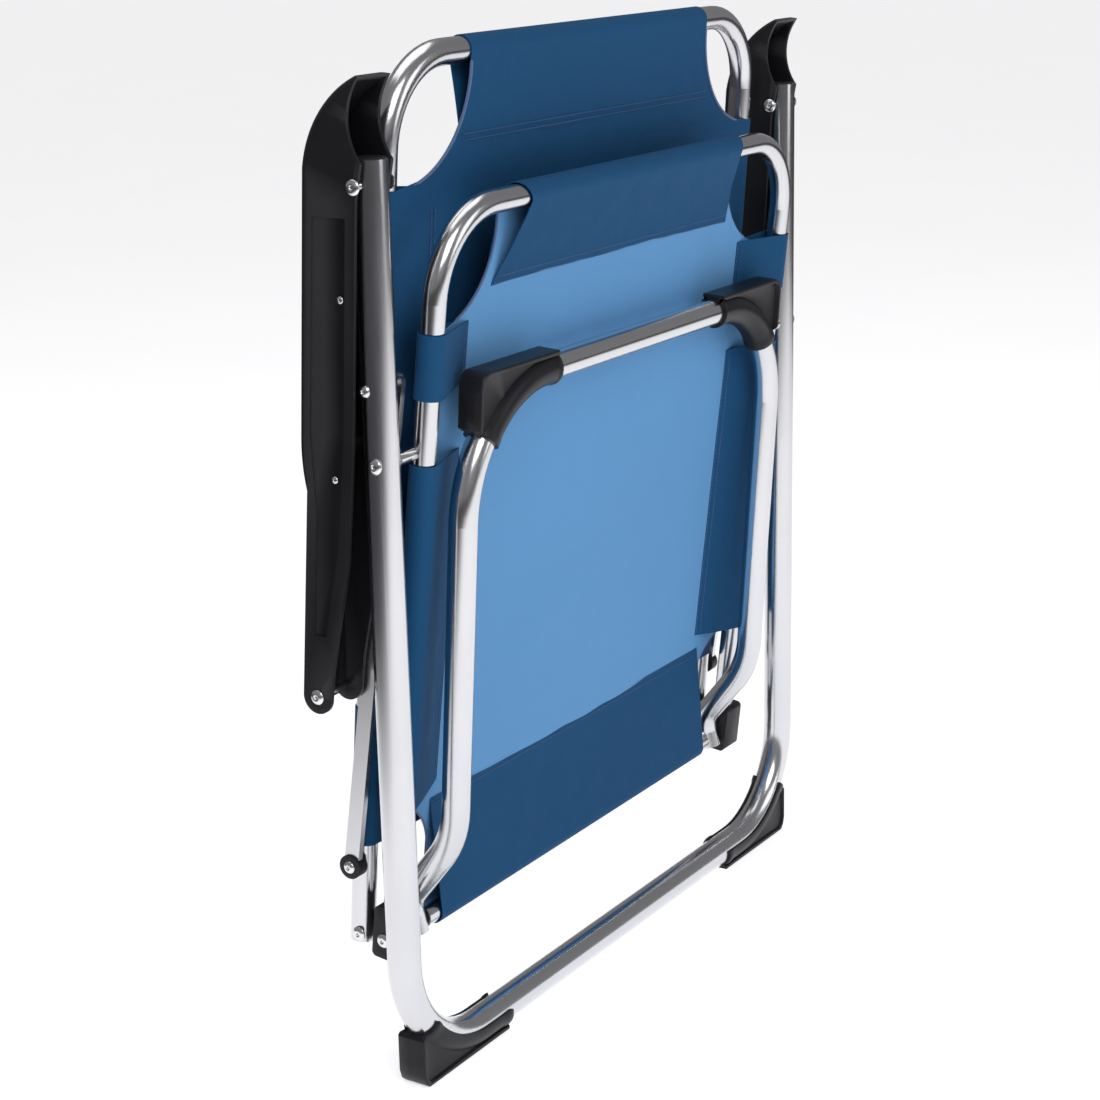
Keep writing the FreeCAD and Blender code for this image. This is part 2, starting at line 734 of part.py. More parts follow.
# ---------------------------------------------------------------- tube plugs
PLUG_LENGTH = 9.0
PLUG_PROUD = 1.0
front_plugs = []
back_plugs = []
bar_plugs = []
for side in SIDES.values():
    front_bore = size("front_tube") / 2 - size("front_wall")
    front_end = FreeCAD.Vector(
        side * size("front_half_width"), 0, size("front_top") - PLUG_LENGTH + PLUG_PROUD
    )
    front_plugs.append(Part.makeCylinder(front_bore, PLUG_LENGTH, front_end))
    back_bore = size("back_tube") / 2 - size("back_wall")
    back_end = FreeCAD.Vector(side * size("back_half_width"), size("back_offset"), -size("back_tail"))
    back_plug = Part.makeCylinder(back_bore, size("back_tail") - size("pin") / 2 - PLUG_PROUD, back_end)
    back_plug.Placement = back_frame
    back_plugs.append(back_plug)
    bar_bore = size("seat_tube") - 2 * size("seat_wall")
    bar_end = size("seat_bar_half")
    bar_plugs.append(across(bar_end - 2 * PLUG_LENGTH, bar_end, rear_axis.y, rear_axis.z, bar_bore, side))
group("front_tube_plugs", front_plugs)
group("back_tube_plugs", back_plugs)
group("rear_bar_plugs", bar_plugs)


# ---------------------------------------------------------------- cloth
def sleeve_solid(tube, seam, length, lift):
    """Cloth sleeve: tight ring round the tube and a doubled tab that runs to its seam."""
    inner = tube / 2 + size("cloth_gap")
    outer = inner + size("cloth")
    ring = Part.makeCylinder(outer, length)
    tab_corner = FreeCAD.Vector(0, lift * outer - size("cloth") * (1 + lift), 0)
    tab = Part.makeBox(seam, 2 * size("cloth"), length, tab_corner)
    core = Part.makeCylinder(inner, length)
    return ring.fuse(tab).cut(core).removeSplitter()


def sleeve(tube, seam, length, origin, along, tail, lift):
    """Sleeve placed with its axis along one direction and its tail towards another."""
    shape = sleeve_solid(tube, seam, length, lift)
    placement = FreeCAD.Placement(origin, FreeCAD.Rotation(tail, along.cross(tail), along, "XYZ"))
    shape.Placement = placement
    return shape


DOWN = FreeCAD.Vector(0, 0, -1)
UP = FreeCAD.Vector(0, 0, 1)

def in_back(shape):
    shape.Placement = back_frame.multiply(shape.Placement)
    return shape


def span(frame_call, tube, half, seam, offset, bar, tail, lift):
    """Sleeve round a cross bar, from -half to +half."""
    origin = FreeCAD.Vector(-half, offset, bar)
    return frame_call(sleeve(tube, seam, 2 * half, origin, X_AXIS, tail, lift))


def seat_lift(along, tail):
    """+1 or -1 so that a seat sleeve's tab lies on the seat's upper face (+Y)."""
    return 1 if along.cross(tail).y > 0 else -1


feature(
    "seat_front_sleeve",
    span(
        in_seat, size("seat_tube"), size("front_sleeve_half"), size("front_sleeve_seam"),
        -size("seat_offset"), size("seat_front_reach"), DOWN, seat_lift(X_AXIS, DOWN),
    ),
)
feature(
    "seat_rear_band",
    span(
        in_seat, size("seat_tube"), size("rear_band_half"), size("rear_band_seam"),
        -size("seat_offset"), -size("seat_bar_reach"), UP, seat_lift(X_AXIS, UP),
    ),
)


def side_sleeves(frame_call, tube, half, seam, offset, stretches, lift_face):
    made = []
    for side in (-1, 1):
        tail = FreeCAD.Vector(-side, 0, 0)
        lift = lift_face if UP.cross(tail).y > 0 else -lift_face
        for low, high in stretches:
            origin = FreeCAD.Vector(side * half, offset, low)
            made.append(frame_call(sleeve(tube, seam, high - low, origin, UP, tail, lift)))
    return made


group(
    "seat_side_sleeves",
    side_sleeves(
        in_seat, size("seat_tube"), size("seat_half_width"), size("seat_side_seam"), -size("seat_offset"),
        [(size("seat_side_low"), size("seat_gap_low")), (size("seat_gap_high"), size("seat_side_high"))], 1,
    ),
)
group(
    "back_side_sleeves",
    side_sleeves(
        in_back, size("back_tube"), size("back_half_width"), size("back_side_seam"), size("back_offset"),
        [(size("back_side_low"), size("back_gap_low")), (size("back_gap_high"), size("back_side_high"))], -1,
    ),
)
feature(
    "back_head_sleeve",
    span(
        in_back, size("back_tube"), size("head_sleeve_half"), size("head_sleeve_seam"),
        size("back_offset"), size("back_reach"), DOWN, -seat_lift(X_AXIS, DOWN),
    ),
)


def panel(half, low, high, face):
    """Flat mesh panel lying on one face of its frame's tubes."""
    return Part.makeBox(2 * half, size("cloth"), high - low, FreeCAD.Vector(-half, face, low))


edge_gap = size("panel_gap")
seat_face = -size("seat_offset") + size("seat_tube") / 2 + size("cloth_gap")
seat_panel_half = size("seat_half_width") - size("seat_side_seam") - edge_gap
feature(
    "seat_panel",
    in_seat(
        panel(
            seat_panel_half,
            -size("seat_bar_reach") + size("rear_band_seam") + edge_gap,
            size("seat_front_reach") - size("front_sleeve_seam") - edge_gap,
            seat_face,
        )
    ),
)
back_face = size("back_offset") - size("back_tube") / 2 - size("cloth_gap") - size("cloth")
back_panel_half = size("back_half_width") - size("back_side_seam") - edge_gap
feature(
    "back_panel",
    in_back(
        panel(
            back_panel_half,
            size("back_side_low"),
            size("back_reach") - size("head_sleeve_seam") - edge_gap,
            back_face,
        )
    ),
)


# ---------------------------------------------------------------- checks and export
stance = FreeCAD.Placement(FreeCAD.Vector(0, size("stance"), 0), FreeCAD.Rotation())
for part in kept:
    part.Placement = stance.multiply(part.Placement)
doc.recompute()
for thing in doc.Objects:
    if "Invalid" in thing.State or "Error" in thing.State:
        raise RuntimeError("failed to build: " + thing.Label)
for part in kept:
    if part.Shape.isNull() or not part.Shape.isValid():
        raise RuntimeError("bad shape: " + part.Label)
for part in kept:
    part.Shape.exportStep("parts/%s.step" % part.Label)
    print("%-26s solids %d volume %9.0f" % (part.Label, len(part.Shape.Solids), part.Shape.Volume))
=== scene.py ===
import json
import math

import bmesh
import bpy
from mathutils import Matrix, Quaternion, Vector, noise


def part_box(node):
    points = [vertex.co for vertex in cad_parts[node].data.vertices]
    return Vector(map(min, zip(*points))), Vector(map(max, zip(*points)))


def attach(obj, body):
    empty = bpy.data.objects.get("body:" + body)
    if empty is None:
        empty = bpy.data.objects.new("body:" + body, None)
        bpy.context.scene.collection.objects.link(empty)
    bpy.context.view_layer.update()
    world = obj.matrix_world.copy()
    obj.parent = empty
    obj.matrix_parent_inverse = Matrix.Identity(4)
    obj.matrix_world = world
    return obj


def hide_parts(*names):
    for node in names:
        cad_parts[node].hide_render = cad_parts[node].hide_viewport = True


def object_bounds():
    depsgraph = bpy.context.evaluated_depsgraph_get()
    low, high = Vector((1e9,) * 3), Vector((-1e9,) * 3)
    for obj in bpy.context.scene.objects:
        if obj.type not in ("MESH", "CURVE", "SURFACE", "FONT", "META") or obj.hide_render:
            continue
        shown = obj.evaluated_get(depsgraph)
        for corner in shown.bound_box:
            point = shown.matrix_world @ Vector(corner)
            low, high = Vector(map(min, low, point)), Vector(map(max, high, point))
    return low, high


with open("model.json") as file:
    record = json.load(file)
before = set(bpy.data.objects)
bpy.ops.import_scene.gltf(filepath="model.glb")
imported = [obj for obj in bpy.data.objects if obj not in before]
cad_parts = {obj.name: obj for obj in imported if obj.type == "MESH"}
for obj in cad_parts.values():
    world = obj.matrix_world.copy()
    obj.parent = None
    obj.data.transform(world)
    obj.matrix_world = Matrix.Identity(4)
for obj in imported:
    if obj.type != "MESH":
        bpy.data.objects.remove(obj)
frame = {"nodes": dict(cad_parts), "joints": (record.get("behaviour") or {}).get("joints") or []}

# Folding camp chair, folded and standing on its front feet. Metres; +Y is the chair's back.
cad_low, cad_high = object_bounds()
scene = bpy.context.scene
MM = 0.001
SIDES = {"left": -1, "right": 1}
joints = {joint["name"]: joint for joint in frame["joints"]}


def hinge(name):
    return Vector(joints[name]["pos_m"])


# The seat and the back lean a little in the folded chair: each has a space of its own, with
# X across, Y off the cloth and Z along the frame, measured in millimetres from its pivot.
SEAT_LEAN = 7.0
BACK_LEAN = 4.9


def leaning(pivot, degrees):
    scale = Matrix.Diagonal((MM, MM, MM, 1.0))
    return Matrix.Translation(pivot) @ Matrix.Rotation(math.radians(degrees), 4, "X") @ scale


seat_space = leaning(hinge("seat_fold"), SEAT_LEAN)
back_space = leaning(hinge("back_fold"), BACK_LEAN)

# Frame sizes in millimetres, as in the CAD design
SEAT = {"half": 254.0, "radius": 8.75, "offset": -4.0, "front": 169.0, "rear": -381.0}
BACK = {"half": 254.0, "radius": 9.5, "offset": 3.5, "top": 650.0}
CLOTH = 0.8
PLY_GAP = 0.15


# ---------------------------------------------------------------- mesh helpers
def make_object(name, mesh):
    piece = bpy.data.objects.new(name, mesh)
    scene.collection.objects.link(piece)
    return piece


def from_faces(name, points, faces, flat_places=None, weld=0.0):
    """Mesh object from points and faces; flat_places holds each point's place in the flat cloth."""
    mesh = bpy.data.meshes.new(name)
    mesh.from_pydata([tuple(point) for point in points], [], faces)
    if flat_places:
        layer = mesh.uv_layers.new(name="cloth")
        for loop in mesh.loops:
            layer.data[loop.index].uv = flat_places[loop.vertex_index]
    if weld:
        shape = bmesh.new()
        shape.from_mesh(mesh)
        bmesh.ops.remove_doubles(shape, verts=shape.verts, dist=weld)
        shape.to_mesh(mesh)
        shape.free()
    mesh.update()
    return make_object(name, mesh)


def face_outward(piece):
    """Turns the faces of a closed mesh outward."""
    shape = bmesh.new()
    shape.from_mesh(piece.data)
    bmesh.ops.recalc_face_normals(shape, faces=shape.faces)
    shape.to_mesh(piece.data)
    shape.free()
    return piece


def lattice(rows, columns, first=0, closed=False):
    """Quads over rows x columns points numbered from first."""
    faces = []
    last = columns if closed else columns - 1
    for row in range(rows - 1):
        for column in range(last):
            after = (column + 1) % columns
            low = first + row * columns
            high = low + columns
            faces.append((low + column, low + after, high + after, high + column))
    return faces


def modify(piece, kind, **settings):
    modifier = piece.modifiers.new(kind.lower(), kind)
    for key, value in settings.items():
        setattr(modifier, key, value)
    return modifier


def apply_all(piece):
    """Puts every modifier into the mesh."""
    graph = bpy.context.evaluated_depsgraph_get()
    mesh = bpy.data.meshes.new_from_object(piece.evaluated_get(graph))
    piece.modifiers.clear()
    piece.data = mesh
    return piece


def shade(piece, degrees=35.0):
    """Smooth shading that keeps edges sharper than an angle."""
    shape = bmesh.new()
    shape.from_mesh(piece.data)
    limit = math.radians(degrees)
    for face in shape.faces:
        face.smooth = True
    for edge in shape.edges:
        edge.smooth = len(edge.link_faces) == 2 and edge.calc_face_angle(0.0) < limit
    shape.to_mesh(piece.data)
    shape.free()
    return piece


def finish_piece(piece, body, material, replaced=()):
    piece.data.materials.clear()
    piece.data.materials.append(material)
    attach(piece, body)
    if replaced:
        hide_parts(*replaced)
    return piece


# ---------------------------------------------------------------- materials
class Material:
    """A node material with short calls to add and join its nodes."""

    def __init__(self, name, colour, roughness, metallic=0.0):
        self.material = bpy.data.materials.new(name)
        self.material.use_nodes = True
        self.tree = self.material.node_tree
        self.shader = self.tree.nodes["Principled BSDF"]
        self.shader.inputs["Base Color"].default_value = (*colour, 1.0)
        self.shader.inputs["Roughness"].default_value = roughness
        self.shader.inputs["Metallic"].default_value = metallic
        self.place = self.add("ShaderNodeTexCoord").outputs["Object"]

    def add(self, kind, properties=None, **inputs):
        node = self.tree.nodes.new(kind)
        for key, value in (properties or {}).items():
            setattr(node, key, value)
        for key, value in inputs.items():
            self.feed(node, key.replace("_", " "), value)
        return node

    def feed(self, node, key, value):
        socket = node.inputs[int(key)] if key.isdigit() else node.inputs[key]
        if isinstance(value, bpy.types.NodeSocket):
            self.tree.links.new(value, socket)
        else:
            socket.default_value = value

    def noise(self, scale, detail=3.0, place=None, roughness=0.5):
        node = self.add("ShaderNodeTexNoise", Scale=scale, Detail=detail, Roughness=roughness)
        self.feed(node, "Vector", place or self.place)
        return node.outputs["Fac"]

    def stretched(self, place, x, y, z):
        node = self.add("ShaderNodeMapping")
        node.inputs["Scale"].default_value = (x, y, z)
        self.feed(node, "Vector", place)
        return node.outputs["Vector"]

    def math(self, operation, first, second=0.0):
        node = self.add("ShaderNodeMath", {"operation": operation})
        self.feed(node, "0", first)
        self.feed(node, "1", second)
        return node.outputs["Value"]

    def span(self, value, low, high):
        node = self.add("ShaderNodeMapRange")
        self.feed(node, "Value", value)
        node.inputs["To Min"].default_value = low
        node.inputs["To Max"].default_value = high
        return node.outputs["Result"]

    def blend(self, share, first, second):
        node = self.add("ShaderNodeMix", {"data_type": "RGBA"})
        self.feed(node, "0", share)
        for index, colour in ((6, first), (7, second)):
            if isinstance(colour, tuple):
                colour = (*colour, 1.0)
            self.feed(node, str(index), colour)
        return node.outputs[2]

    def bump(self, height, strength, distance):
        node = self.add("ShaderNodeBump")
        node.inputs["Strength"].default_value = strength
        node.inputs["Distance"].default_value = distance
        self.feed(node, "Height", height)
        self.feed(self.shader, "Normal", node.outputs["Normal"])


def aluminium(name, colour, roughness, scratch):
    metal = Material(name, colour, roughness, 1.0)
    smears = metal.noise(14.0, 4.0)
    hairlines = metal.noise(260.0, 6.0, metal.stretched(metal.place, 1.0, 1.0, 0.08))
    tone = metal.blend(smears, colour, tuple(0.90 * part for part in colour))
    metal.feed(metal.shader, "Base Color", tone)
    mixed = metal.math("ADD", metal.math("MULTIPLY", smears, 0.5), metal.math("MULTIPLY", hairlines, 0.5))
    metal.feed(metal.shader, "Roughness", metal.span(mixed, roughness - scratch, roughness + scratch))
    metal.bump(hairlines, 0.06, 0.0004)
    return metal.material


def moulded_plastic(name, colour, roughness):
    plastic = Material(name, colour, roughness)
    grain = plastic.noise(1500.0, 2.0)
    patches = plastic.noise(28.0, 4.0)
    # Convex edges are blended towards grey: a painted highlight along the moulded edges.
    edge = plastic.add("ShaderNodeNewGeometry").outputs["Pointiness"]
    edge_highlight = plastic.math("MAXIMUM", plastic.span(edge, -8.6, 8.8), 0.0)
    edge_highlight_share = plastic.math("MINIMUM", plastic.math("MULTIPLY", edge_highlight, 0.15), 0.25)
    scuffed = plastic.blend(patches, colour, tuple(1.5 * part for part in colour))
    tone = plastic.blend(edge_highlight_share, scuffed, (0.10, 0.10, 0.11))
    plastic.feed(plastic.shader, "Base Color", tone)
    plastic.feed(plastic.shader, "Roughness", plastic.span(patches, roughness - 0.08, roughness + 0.12))
    plastic.shader.inputs["Specular IOR Level"].default_value = 0.2
    plastic.bump(grain, 0.22, 0.0003)
    return plastic.material


WEAVE_PITCH = 1.3 * MM


def woven(name, warp, weft, mottle_and_gap_shade_colour, sheen):
    """Coated polyester weave: crossing yarns in the cloth's own flat places."""
    cloth = Material(name, warp, 0.7)
    flat = cloth.add("ShaderNodeUVMap", {"uv_map": "cloth"}).outputs["UV"]
    waviness = cloth.noise(60.0, 2.0, flat)
    yarns = []
    for direction in ("X", "Y"):
        wave = cloth.add("ShaderNodeTexWave", {"bands_direction": direction, "wave_profile": "SIN"})
        cloth.feed(wave, "Vector", flat)
        wave.inputs["Scale"].default_value = 2 * math.pi / (20.0 * WEAVE_PITCH)
        wave.inputs["Distortion"].default_value = 0.35
        wave.inputs["Detail Scale"].default_value = 2.0
        yarns.append(wave.outputs["Fac"])
    over = cloth.math("MAXIMUM", *yarns)
    dips = cloth.math("MULTIPLY", *yarns)
    height = cloth.math("SUBTRACT", over, cloth.math("MULTIPLY", dips, 0.5))
    yarn_tone = cloth.blend(yarns[0], warp, weft)
    fading = cloth.noise(7.0, 4.0)
    tone = cloth.blend(cloth.math("MULTIPLY", fading, 0.35), yarn_tone, mottle_and_gap_shade_colour)
    # The hollows between the yarns are darkened: painted shade in the weave. The broad mottling above is
    # the cloth's own uneven tone.
    yarn_gap_shade = cloth.math("MULTIPLY", cloth.math("SUBTRACT", 1.0, height), 0.35)
    tone_with_gap_shade = cloth.blend(yarn_gap_shade, tone, mottle_and_gap_shade_colour)
    cloth.feed(cloth.shader, "Base Color", tone_with_gap_shade)
    cloth.feed(cloth.shader, "Roughness", cloth.span(waviness, 0.62, 0.80))
    cloth.shader.inputs["Specular IOR Level"].default_value = 0.12
    cloth.shader.inputs["Sheen Weight"].default_value = sheen
    cloth.shader.inputs["Sheen Roughness"].default_value = 0.45
    cloth.bump(height, 0.35, 0.0004)
    return cloth.material


def twisted_yarn(name, colour):
    yarn = Material(name, colour, 0.6)
    twist = yarn.noise(1800.0, 2.0)
    yarn.feed(yarn.shader, "Base Color", yarn.blend(twist, colour, tuple(0.6 * part for part in colour)))
    yarn.shader.inputs["Sheen Weight"].default_value = 0.3
    yarn.bump(twist, 0.3, 0.0003)
    return yarn.material


tube_metal = aluminium("polished_tube", (0.70, 0.70, 0.72), 0.20, 0.05)
bar_metal = aluminium("satin_flat_bar", (0.74, 0.74, 0.76), 0.30, 0.06)
rivet_metal = aluminium("zinc_rivet", (0.80, 0.80, 0.80), 0.22, 0.06)
black_plastic = moulded_plastic("moulded_black", (0.006, 0.006, 0.008), 0.34)
light_weave = woven("light_blue_weave", (0.145, 0.37, 0.68), (0.12, 0.32, 0.61), (0.09, 0.25, 0.50), 0.04)
dark_weave = woven(
    "dark_blue_weave", (0.012, 0.092, 0.225), (0.009, 0.076, 0.19), (0.006, 0.045, 0.12), 0.03
)
dark_thread = twisted_yarn("dark_thread", (0.035, 0.10, 0.26))
piping_cloth = twisted_yarn("piping_braid", (0.085, 0.16, 0.36))

# CAD nodes that are shown as they are, and their materials
SHOWN_NODES = {
    "front_leg_frame": tube_metal,
    "rear_leg_frame": tube_metal,
    "seat_frame": tube_metal,
    "seat_rear_bar": tube_metal,
    "back_frame": tube_metal,
    "strut_left": bar_metal,
    "strut_right": bar_metal,
    "seat_pivot_spacers": rivet_metal,
    "armrest_rear_spacer_left": black_plastic,
    "armrest_rear_spacer_right": black_plastic,
    "front_tube_plugs": black_plastic,
    "back_tube_plugs": black_plastic,
    "rear_bar_plugs": black_plastic,
}
for node_name, material in SHOWN_NODES.items():
    for material_slot in frame["nodes"][node_name].material_slots:
        material_slot.material = material


# ---------------------------------------------------------------- moulded parts
def softened(name, node, body, width):
    """Copy of a moulded CAD node with its sharp edges rounded."""
    mesh = frame["nodes"][node].data.copy()
    shape = bmesh.new()
    shape.from_mesh(mesh)
    bmesh.ops.remove_doubles(shape, verts=shape.verts, dist=0.01 * MM)
    bmesh.ops.dissolve_limit(shape, angle_limit=math.radians(1.0), verts=shape.verts, edges=shape.edges)
    shape.to_mesh(mesh)
    shape.free()
    piece = make_object(name, mesh)
    modify(piece, "BEVEL", width=width, segments=3, limit_method="ANGLE", angle_limit=math.radians(32))
    apply_all(piece)
    modify(piece, "TRIANGULATE")
    shade(apply_all(piece), 40.0)
    return finish_piece(piece, body, black_plastic, [node])


for side_name in SIDES:
    armrest = "armrest_" + side_name
    softened("armrest_shell_" + side_name, armrest, armrest, 0.9 * MM)
    softened("bracket_shell_" + side_name, "seat_bracket_" + side_name, "seat", 0.8 * MM)
    softened("strut_cap_shell_" + side_name, "strut_cap_" + side_name, "strut_" + side_name, 0.5 * MM)


# ---------------------------------------------------------------- feet and shoes
# Sizes in millimetres, turns in degrees. Heights are from the sole, and distances along the
# cross bar are from the chair's middle.
FRONT_SHOE = {
    "way": 1,  # the sole is below the tube
    "radius": 12.5,  # tube
    "bend": 88.0,  # radius of the tube's bend, to its middle
    "bar": 15.5,  # height of the cross bar's middle
    "leg": 293.5,  # distance to the leg's middle
    "inner": 176.0,  # distance to the inner end
    "outer": 288.0,  # distance to the outer face
    "toe": 6.0,  # how much the outer corner is cut back
    "turn": 52.0,  # how far the skin follows the bend
    "skin": 1.6,  # thickness round the tube
    "web": 8.5,  # half the thickness between the tube and the sole
    "near": 10.5,  # flange towards the chair's front
    "far": 13.5,  # flange towards the chair's back
    "far_lip": 138,  # where the skin ends on each side: see shoe_half
    "near_lip": 102,
}
REAR_SHOE = {
    "way": -1,  # the rear leg frame is upside down while folded
    "radius": 10.75,
    "bend": 95.0,
    "bar": 14.25,
    "leg": 229.0,
    "inner": 124.0,
    "outer": 225.0,
    "toe": 5.0,
    "turn": 53.0,
    "skin": 2.0,
    "web": 7.0,
    "near": 10.0,
    "far": 10.0,
    "far_lip": 180,
    "near_lip": 180,
}
BORE_GAP = 0.12
END_RIM = 0.8  # how much thicker the skin is at an elbow's two ends
BAR_STATIONS = 6
BEND_STATIONS = 20


def shoe_half(radius, skin, rho_out, web, flange, lip):
    """One side of an elbow's section: (out from the tube's middle, across), from its lip to the sole.

    lip is the turn from straight outward at which the skin ends: 180 closes it round the tube.
    """
    reach = radius + skin
    half = []
    for step in range(6):
        turn = math.radians(lip + (90 - lip) * step / 6)
        half.append((reach * math.cos(turn), reach * math.sin(turn)))
    foot = math.degrees(math.asin(web / reach))
    for step in range(6):
        turn = math.radians(90 + (foot - 90) * step / 5)
        half.append((reach * math.cos(turn), reach * math.sin(turn)))
    waist = max(rho_out - 5.0, half[-1][0] + 0.1)
    half += [(waist, web), (max(rho_out - 3.4, waist + 0.1), flange)]
    half += [(rho_out - 0.8, flange), (rho_out, flange - 0.8), (rho_out, 0.3 * flange)]
    return half


def shoe_section(spec, rho_out, skin):
    """Outline of an elbow's section and, point for point, its bore."""
    far = shoe_half(spec["radius"], skin, rho_out, spec["web"], spec["far"], spec["far_lip"])
    near = shoe_half(spec["radius"], skin, rho_out, spec["web"], spec["near"], spec["near_lip"])
    loop = far + [(rho, -across) for rho, across in reversed(near)]
    bore = spec["radius"] + BORE_GAP
    inside = []
    for rho, across in loop:
        turn = math.atan2(across, rho)
        inside.append((bore * math.cos(turn), bore * math.sin(turn)))
    return loop, inside


def elbow(name, node, body, space, side, spec):
    """Moulded elbow: a skin round the tube's bend, a web out to a sharp corner and a sole."""
    bend, bar = spec["bend"], spec["bar"]
    stations = []
    start = spec["leg"] - bend
    for step in range(BAR_STATIONS):
        along = spec["inner"] + (start - spec["inner"]) * step / BAR_STATIONS
        stations.append((along, bar, 0.0))
    for step in range(BEND_STATIONS + 1):
        turn = math.radians(spec["turn"]) * step / BEND_STATIONS
        stations.append((start + bend * math.sin(turn), bar + bend - bend * math.cos(turn), turn))
    points = []
    for number, (along, rise, turn) in enumerate(stations):
        out_x, out_z = math.sin(turn), -math.cos(turn)
        reaches = []
        if out_z < -1e-6:
            reaches.append(rise / -out_z)
        if out_x > 1e-6:
            reaches.append((spec["outer"] - along) / out_x)
        toe_reach = (spec["outer"] - spec["toe"] - (along - rise)) / (out_x - out_z)
        rho_out = min(min(reaches), toe_reach)
        from_end = min(number, len(stations) - 1 - number)
        rim = END_RIM if from_end < 2 else 0.0
        loop, inside = shoe_section(spec, rho_out, spec["skin"] + rim)
        for rho, across in loop + inside:
            points.append(
                space @ Vector((side * (along + out_x * rho), across, spec["way"] * (rise + out_z * rho)))
            )
    count = len(loop)
    ring = 2 * count
    faces = []
    for number in range(len(stations) - 1):
        low, high = number * ring, (number + 1) * ring
        bore_low, bore_high = low + count, high + count
        for item in range(count - 1):
            after = item + 1
            faces.append((low + item, low + after, high + after, high + item))
            faces.append((bore_low + item, bore_high + item, bore_high + after, bore_low + after))
        if spec["far_lip"] < 180:
            for item in (0, count - 1):
                faces.append((low + item, high + item, bore_high + item, bore_low + item))
    for low in (0, (len(stations) - 1) * ring):
        for item in range(count - 1):
            faces.append((low + item, low + item + 1, low + count + item + 1, low + count + item))
    piece = face_outward(from_faces(name, points, faces, weld=0.01 * MM))
    modify(piece, "BEVEL", width=0.45 * MM, segments=2, limit_method="ANGLE", angle_limit=math.radians(40))
    shade(apply_all(piece), 38.0)
    return finish_piece(piece, body, black_plastic, [node])


leg_low, leg_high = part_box("front_leg_frame")
front_plane = (leg_low.y + leg_high.y) / 2
rear_low, rear_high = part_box("rear_leg_frame")
# From the rear leg frame's cross bar to its knee, as in the CAD design
REAR_KNEE_SHIFT = 24.0
REAR_KNEE_DROP = 339.0
REAR_LEAN = math.degrees(math.atan2(REAR_KNEE_SHIFT, REAR_KNEE_DROP))
rear_tube = REAR_SHOE["radius"] * MM
rear_bar_axis = Vector((0.0, rear_low.y + rear_tube, rear_high.z - rear_tube))
front_space = Matrix.Translation((0.0, front_plane, 0.0)) @ Matrix.Diagonal((MM, MM, MM, 1.0))
rear_space = leaning(rear_bar_axis, REAR_LEAN) @ Matrix.Translation((0.0, 0.0, REAR_SHOE["bar"]))
for side_name, side in SIDES.items():
    elbow("front_shoe_" + side_name, "front_foot_" + side_name, "front_leg", front_space, side, FRONT_SHOE)
    elbow("rear_shoe_" + side_name, "rear_foot_" + side_name, "rear_leg", rear_space, side, REAR_SHOE)


# ---------------------------------------------------------------- rivets
def solids_of(node):
    """Lowest and highest corner of each separate solid in a CAD node, in the mesh's own order."""
    shape = bmesh.new()
    shape.from_mesh(frame["nodes"][node].data)
    bmesh.ops.remove_doubles(shape, verts=shape.verts, dist=0.01 * MM)
    left = set(shape.verts)
    boxes = []
    for start in shape.verts:
        if start not in left:
            continue
        left.remove(start)
        heap = [start]
        found = []
        while heap:
            vertex = heap.pop()
            found.append(vertex.co.copy())
            for edge in vertex.link_edges:
                other = edge.other_vert(vertex)
                if other in left:
                    left.remove(other)
                    heap.append(other)
        low = Vector([min(point[axis] for point in found) for axis in range(3)])
        high = Vector([max(point[axis] for point in found) for axis in range(3)])
        boxes.append((low, high))
    shape.free()
    return boxes


HEAD_RISE = 2.4 * MM
PIN_RADIUS = 2.5 * MM
AROUND = 32


def rivet_profile(length, head_radius, inner_head):
    """Distances along and off the axis, from the outer head's dimple to the other end."""
    profile = [(0.55, 0.0), (0.55, 0.16), (0.18, 0.24), (0.0, 0.34), (0.05, 0.52), (0.28, 0.76)]
    profile += [(0.62, 0.94), (0.86, 1.0), (1.0, 0.98)]
    outer = [(rise * HEAD_RISE, off * head_radius) for rise, off in profile]
    outer.append((HEAD_RISE, PIN_RADIUS))
    if inner_head:
        return outer + [(length - along, off) for along, off in reversed(outer)]
    return outer + [(length - 0.4 * MM, PIN_RADIUS), (length, PIN_RADIUS - 0.4 * MM), (length, 0.0)]


def rivets(name, node, body, inner_head):
    points, faces = [], []
    for low, high in solids_of(node):
        centre = (low + high) / 2
        side = 1 if centre.x > 0 else -1
        outer_x = high.x if side > 0 else low.x
        profile = rivet_profile(high.x - low.x, (high.y - low.y) / 2, inner_head)
        first = len(points)
        for along, off in profile:
            for step in range(AROUND):
                angle = 2 * math.pi * step / AROUND
                points.append((
                    outer_x - side * along,
                    centre.y + off * math.cos(angle),
                    centre.z + off * math.sin(angle),
                ))
        faces += lattice(len(profile), AROUND, first, closed=True)
    piece = face_outward(from_faces(name, points, faces, weld=0.002 * MM))
    return finish_piece(shade(piece, 50.0), body, rivet_metal, [node])


rivets("armrest_front_rivet_heads", "armrest_front_rivets", "front_leg", True)
rivets("seat_pivot_bolt_heads", "seat_pivot_bolts", "front_leg", True)
rivets("strut_top_rivet_heads", "strut_top_rivets", "front_leg", True)
rivets("back_pivot_pin_heads", "back_pivot_pins", "seat", False)
rivets("rear_axle_bolt_heads", "rear_axle_bolts", "seat", False)
for side_name in SIDES:
    for rivet, body in (("armrest_rear_rivet", "armrest_"), ("strut_foot_rivet", "strut_")):
        rivets(rivet + "_head_" + side_name, rivet + "_" + side_name, body + side_name, False)


# Small screws in the armrests' outer walls: how far behind the front legs' plane and how high, in
# millimetres
ARMREST_SCREWS = ((15.1, 593.2), (26.9, 467.7))
SCREW_RADIUS = 2.6 * MM
# A screw's head from the wall to the bottom of its recess: millimetres out, and share of its radius
SCREW_PROFILE = ((-0.3, 1.0), (0.35, 1.0), (0.8, 0.8), (1.0, 0.4), (0.6, 0.3), (0.6, 0.02))


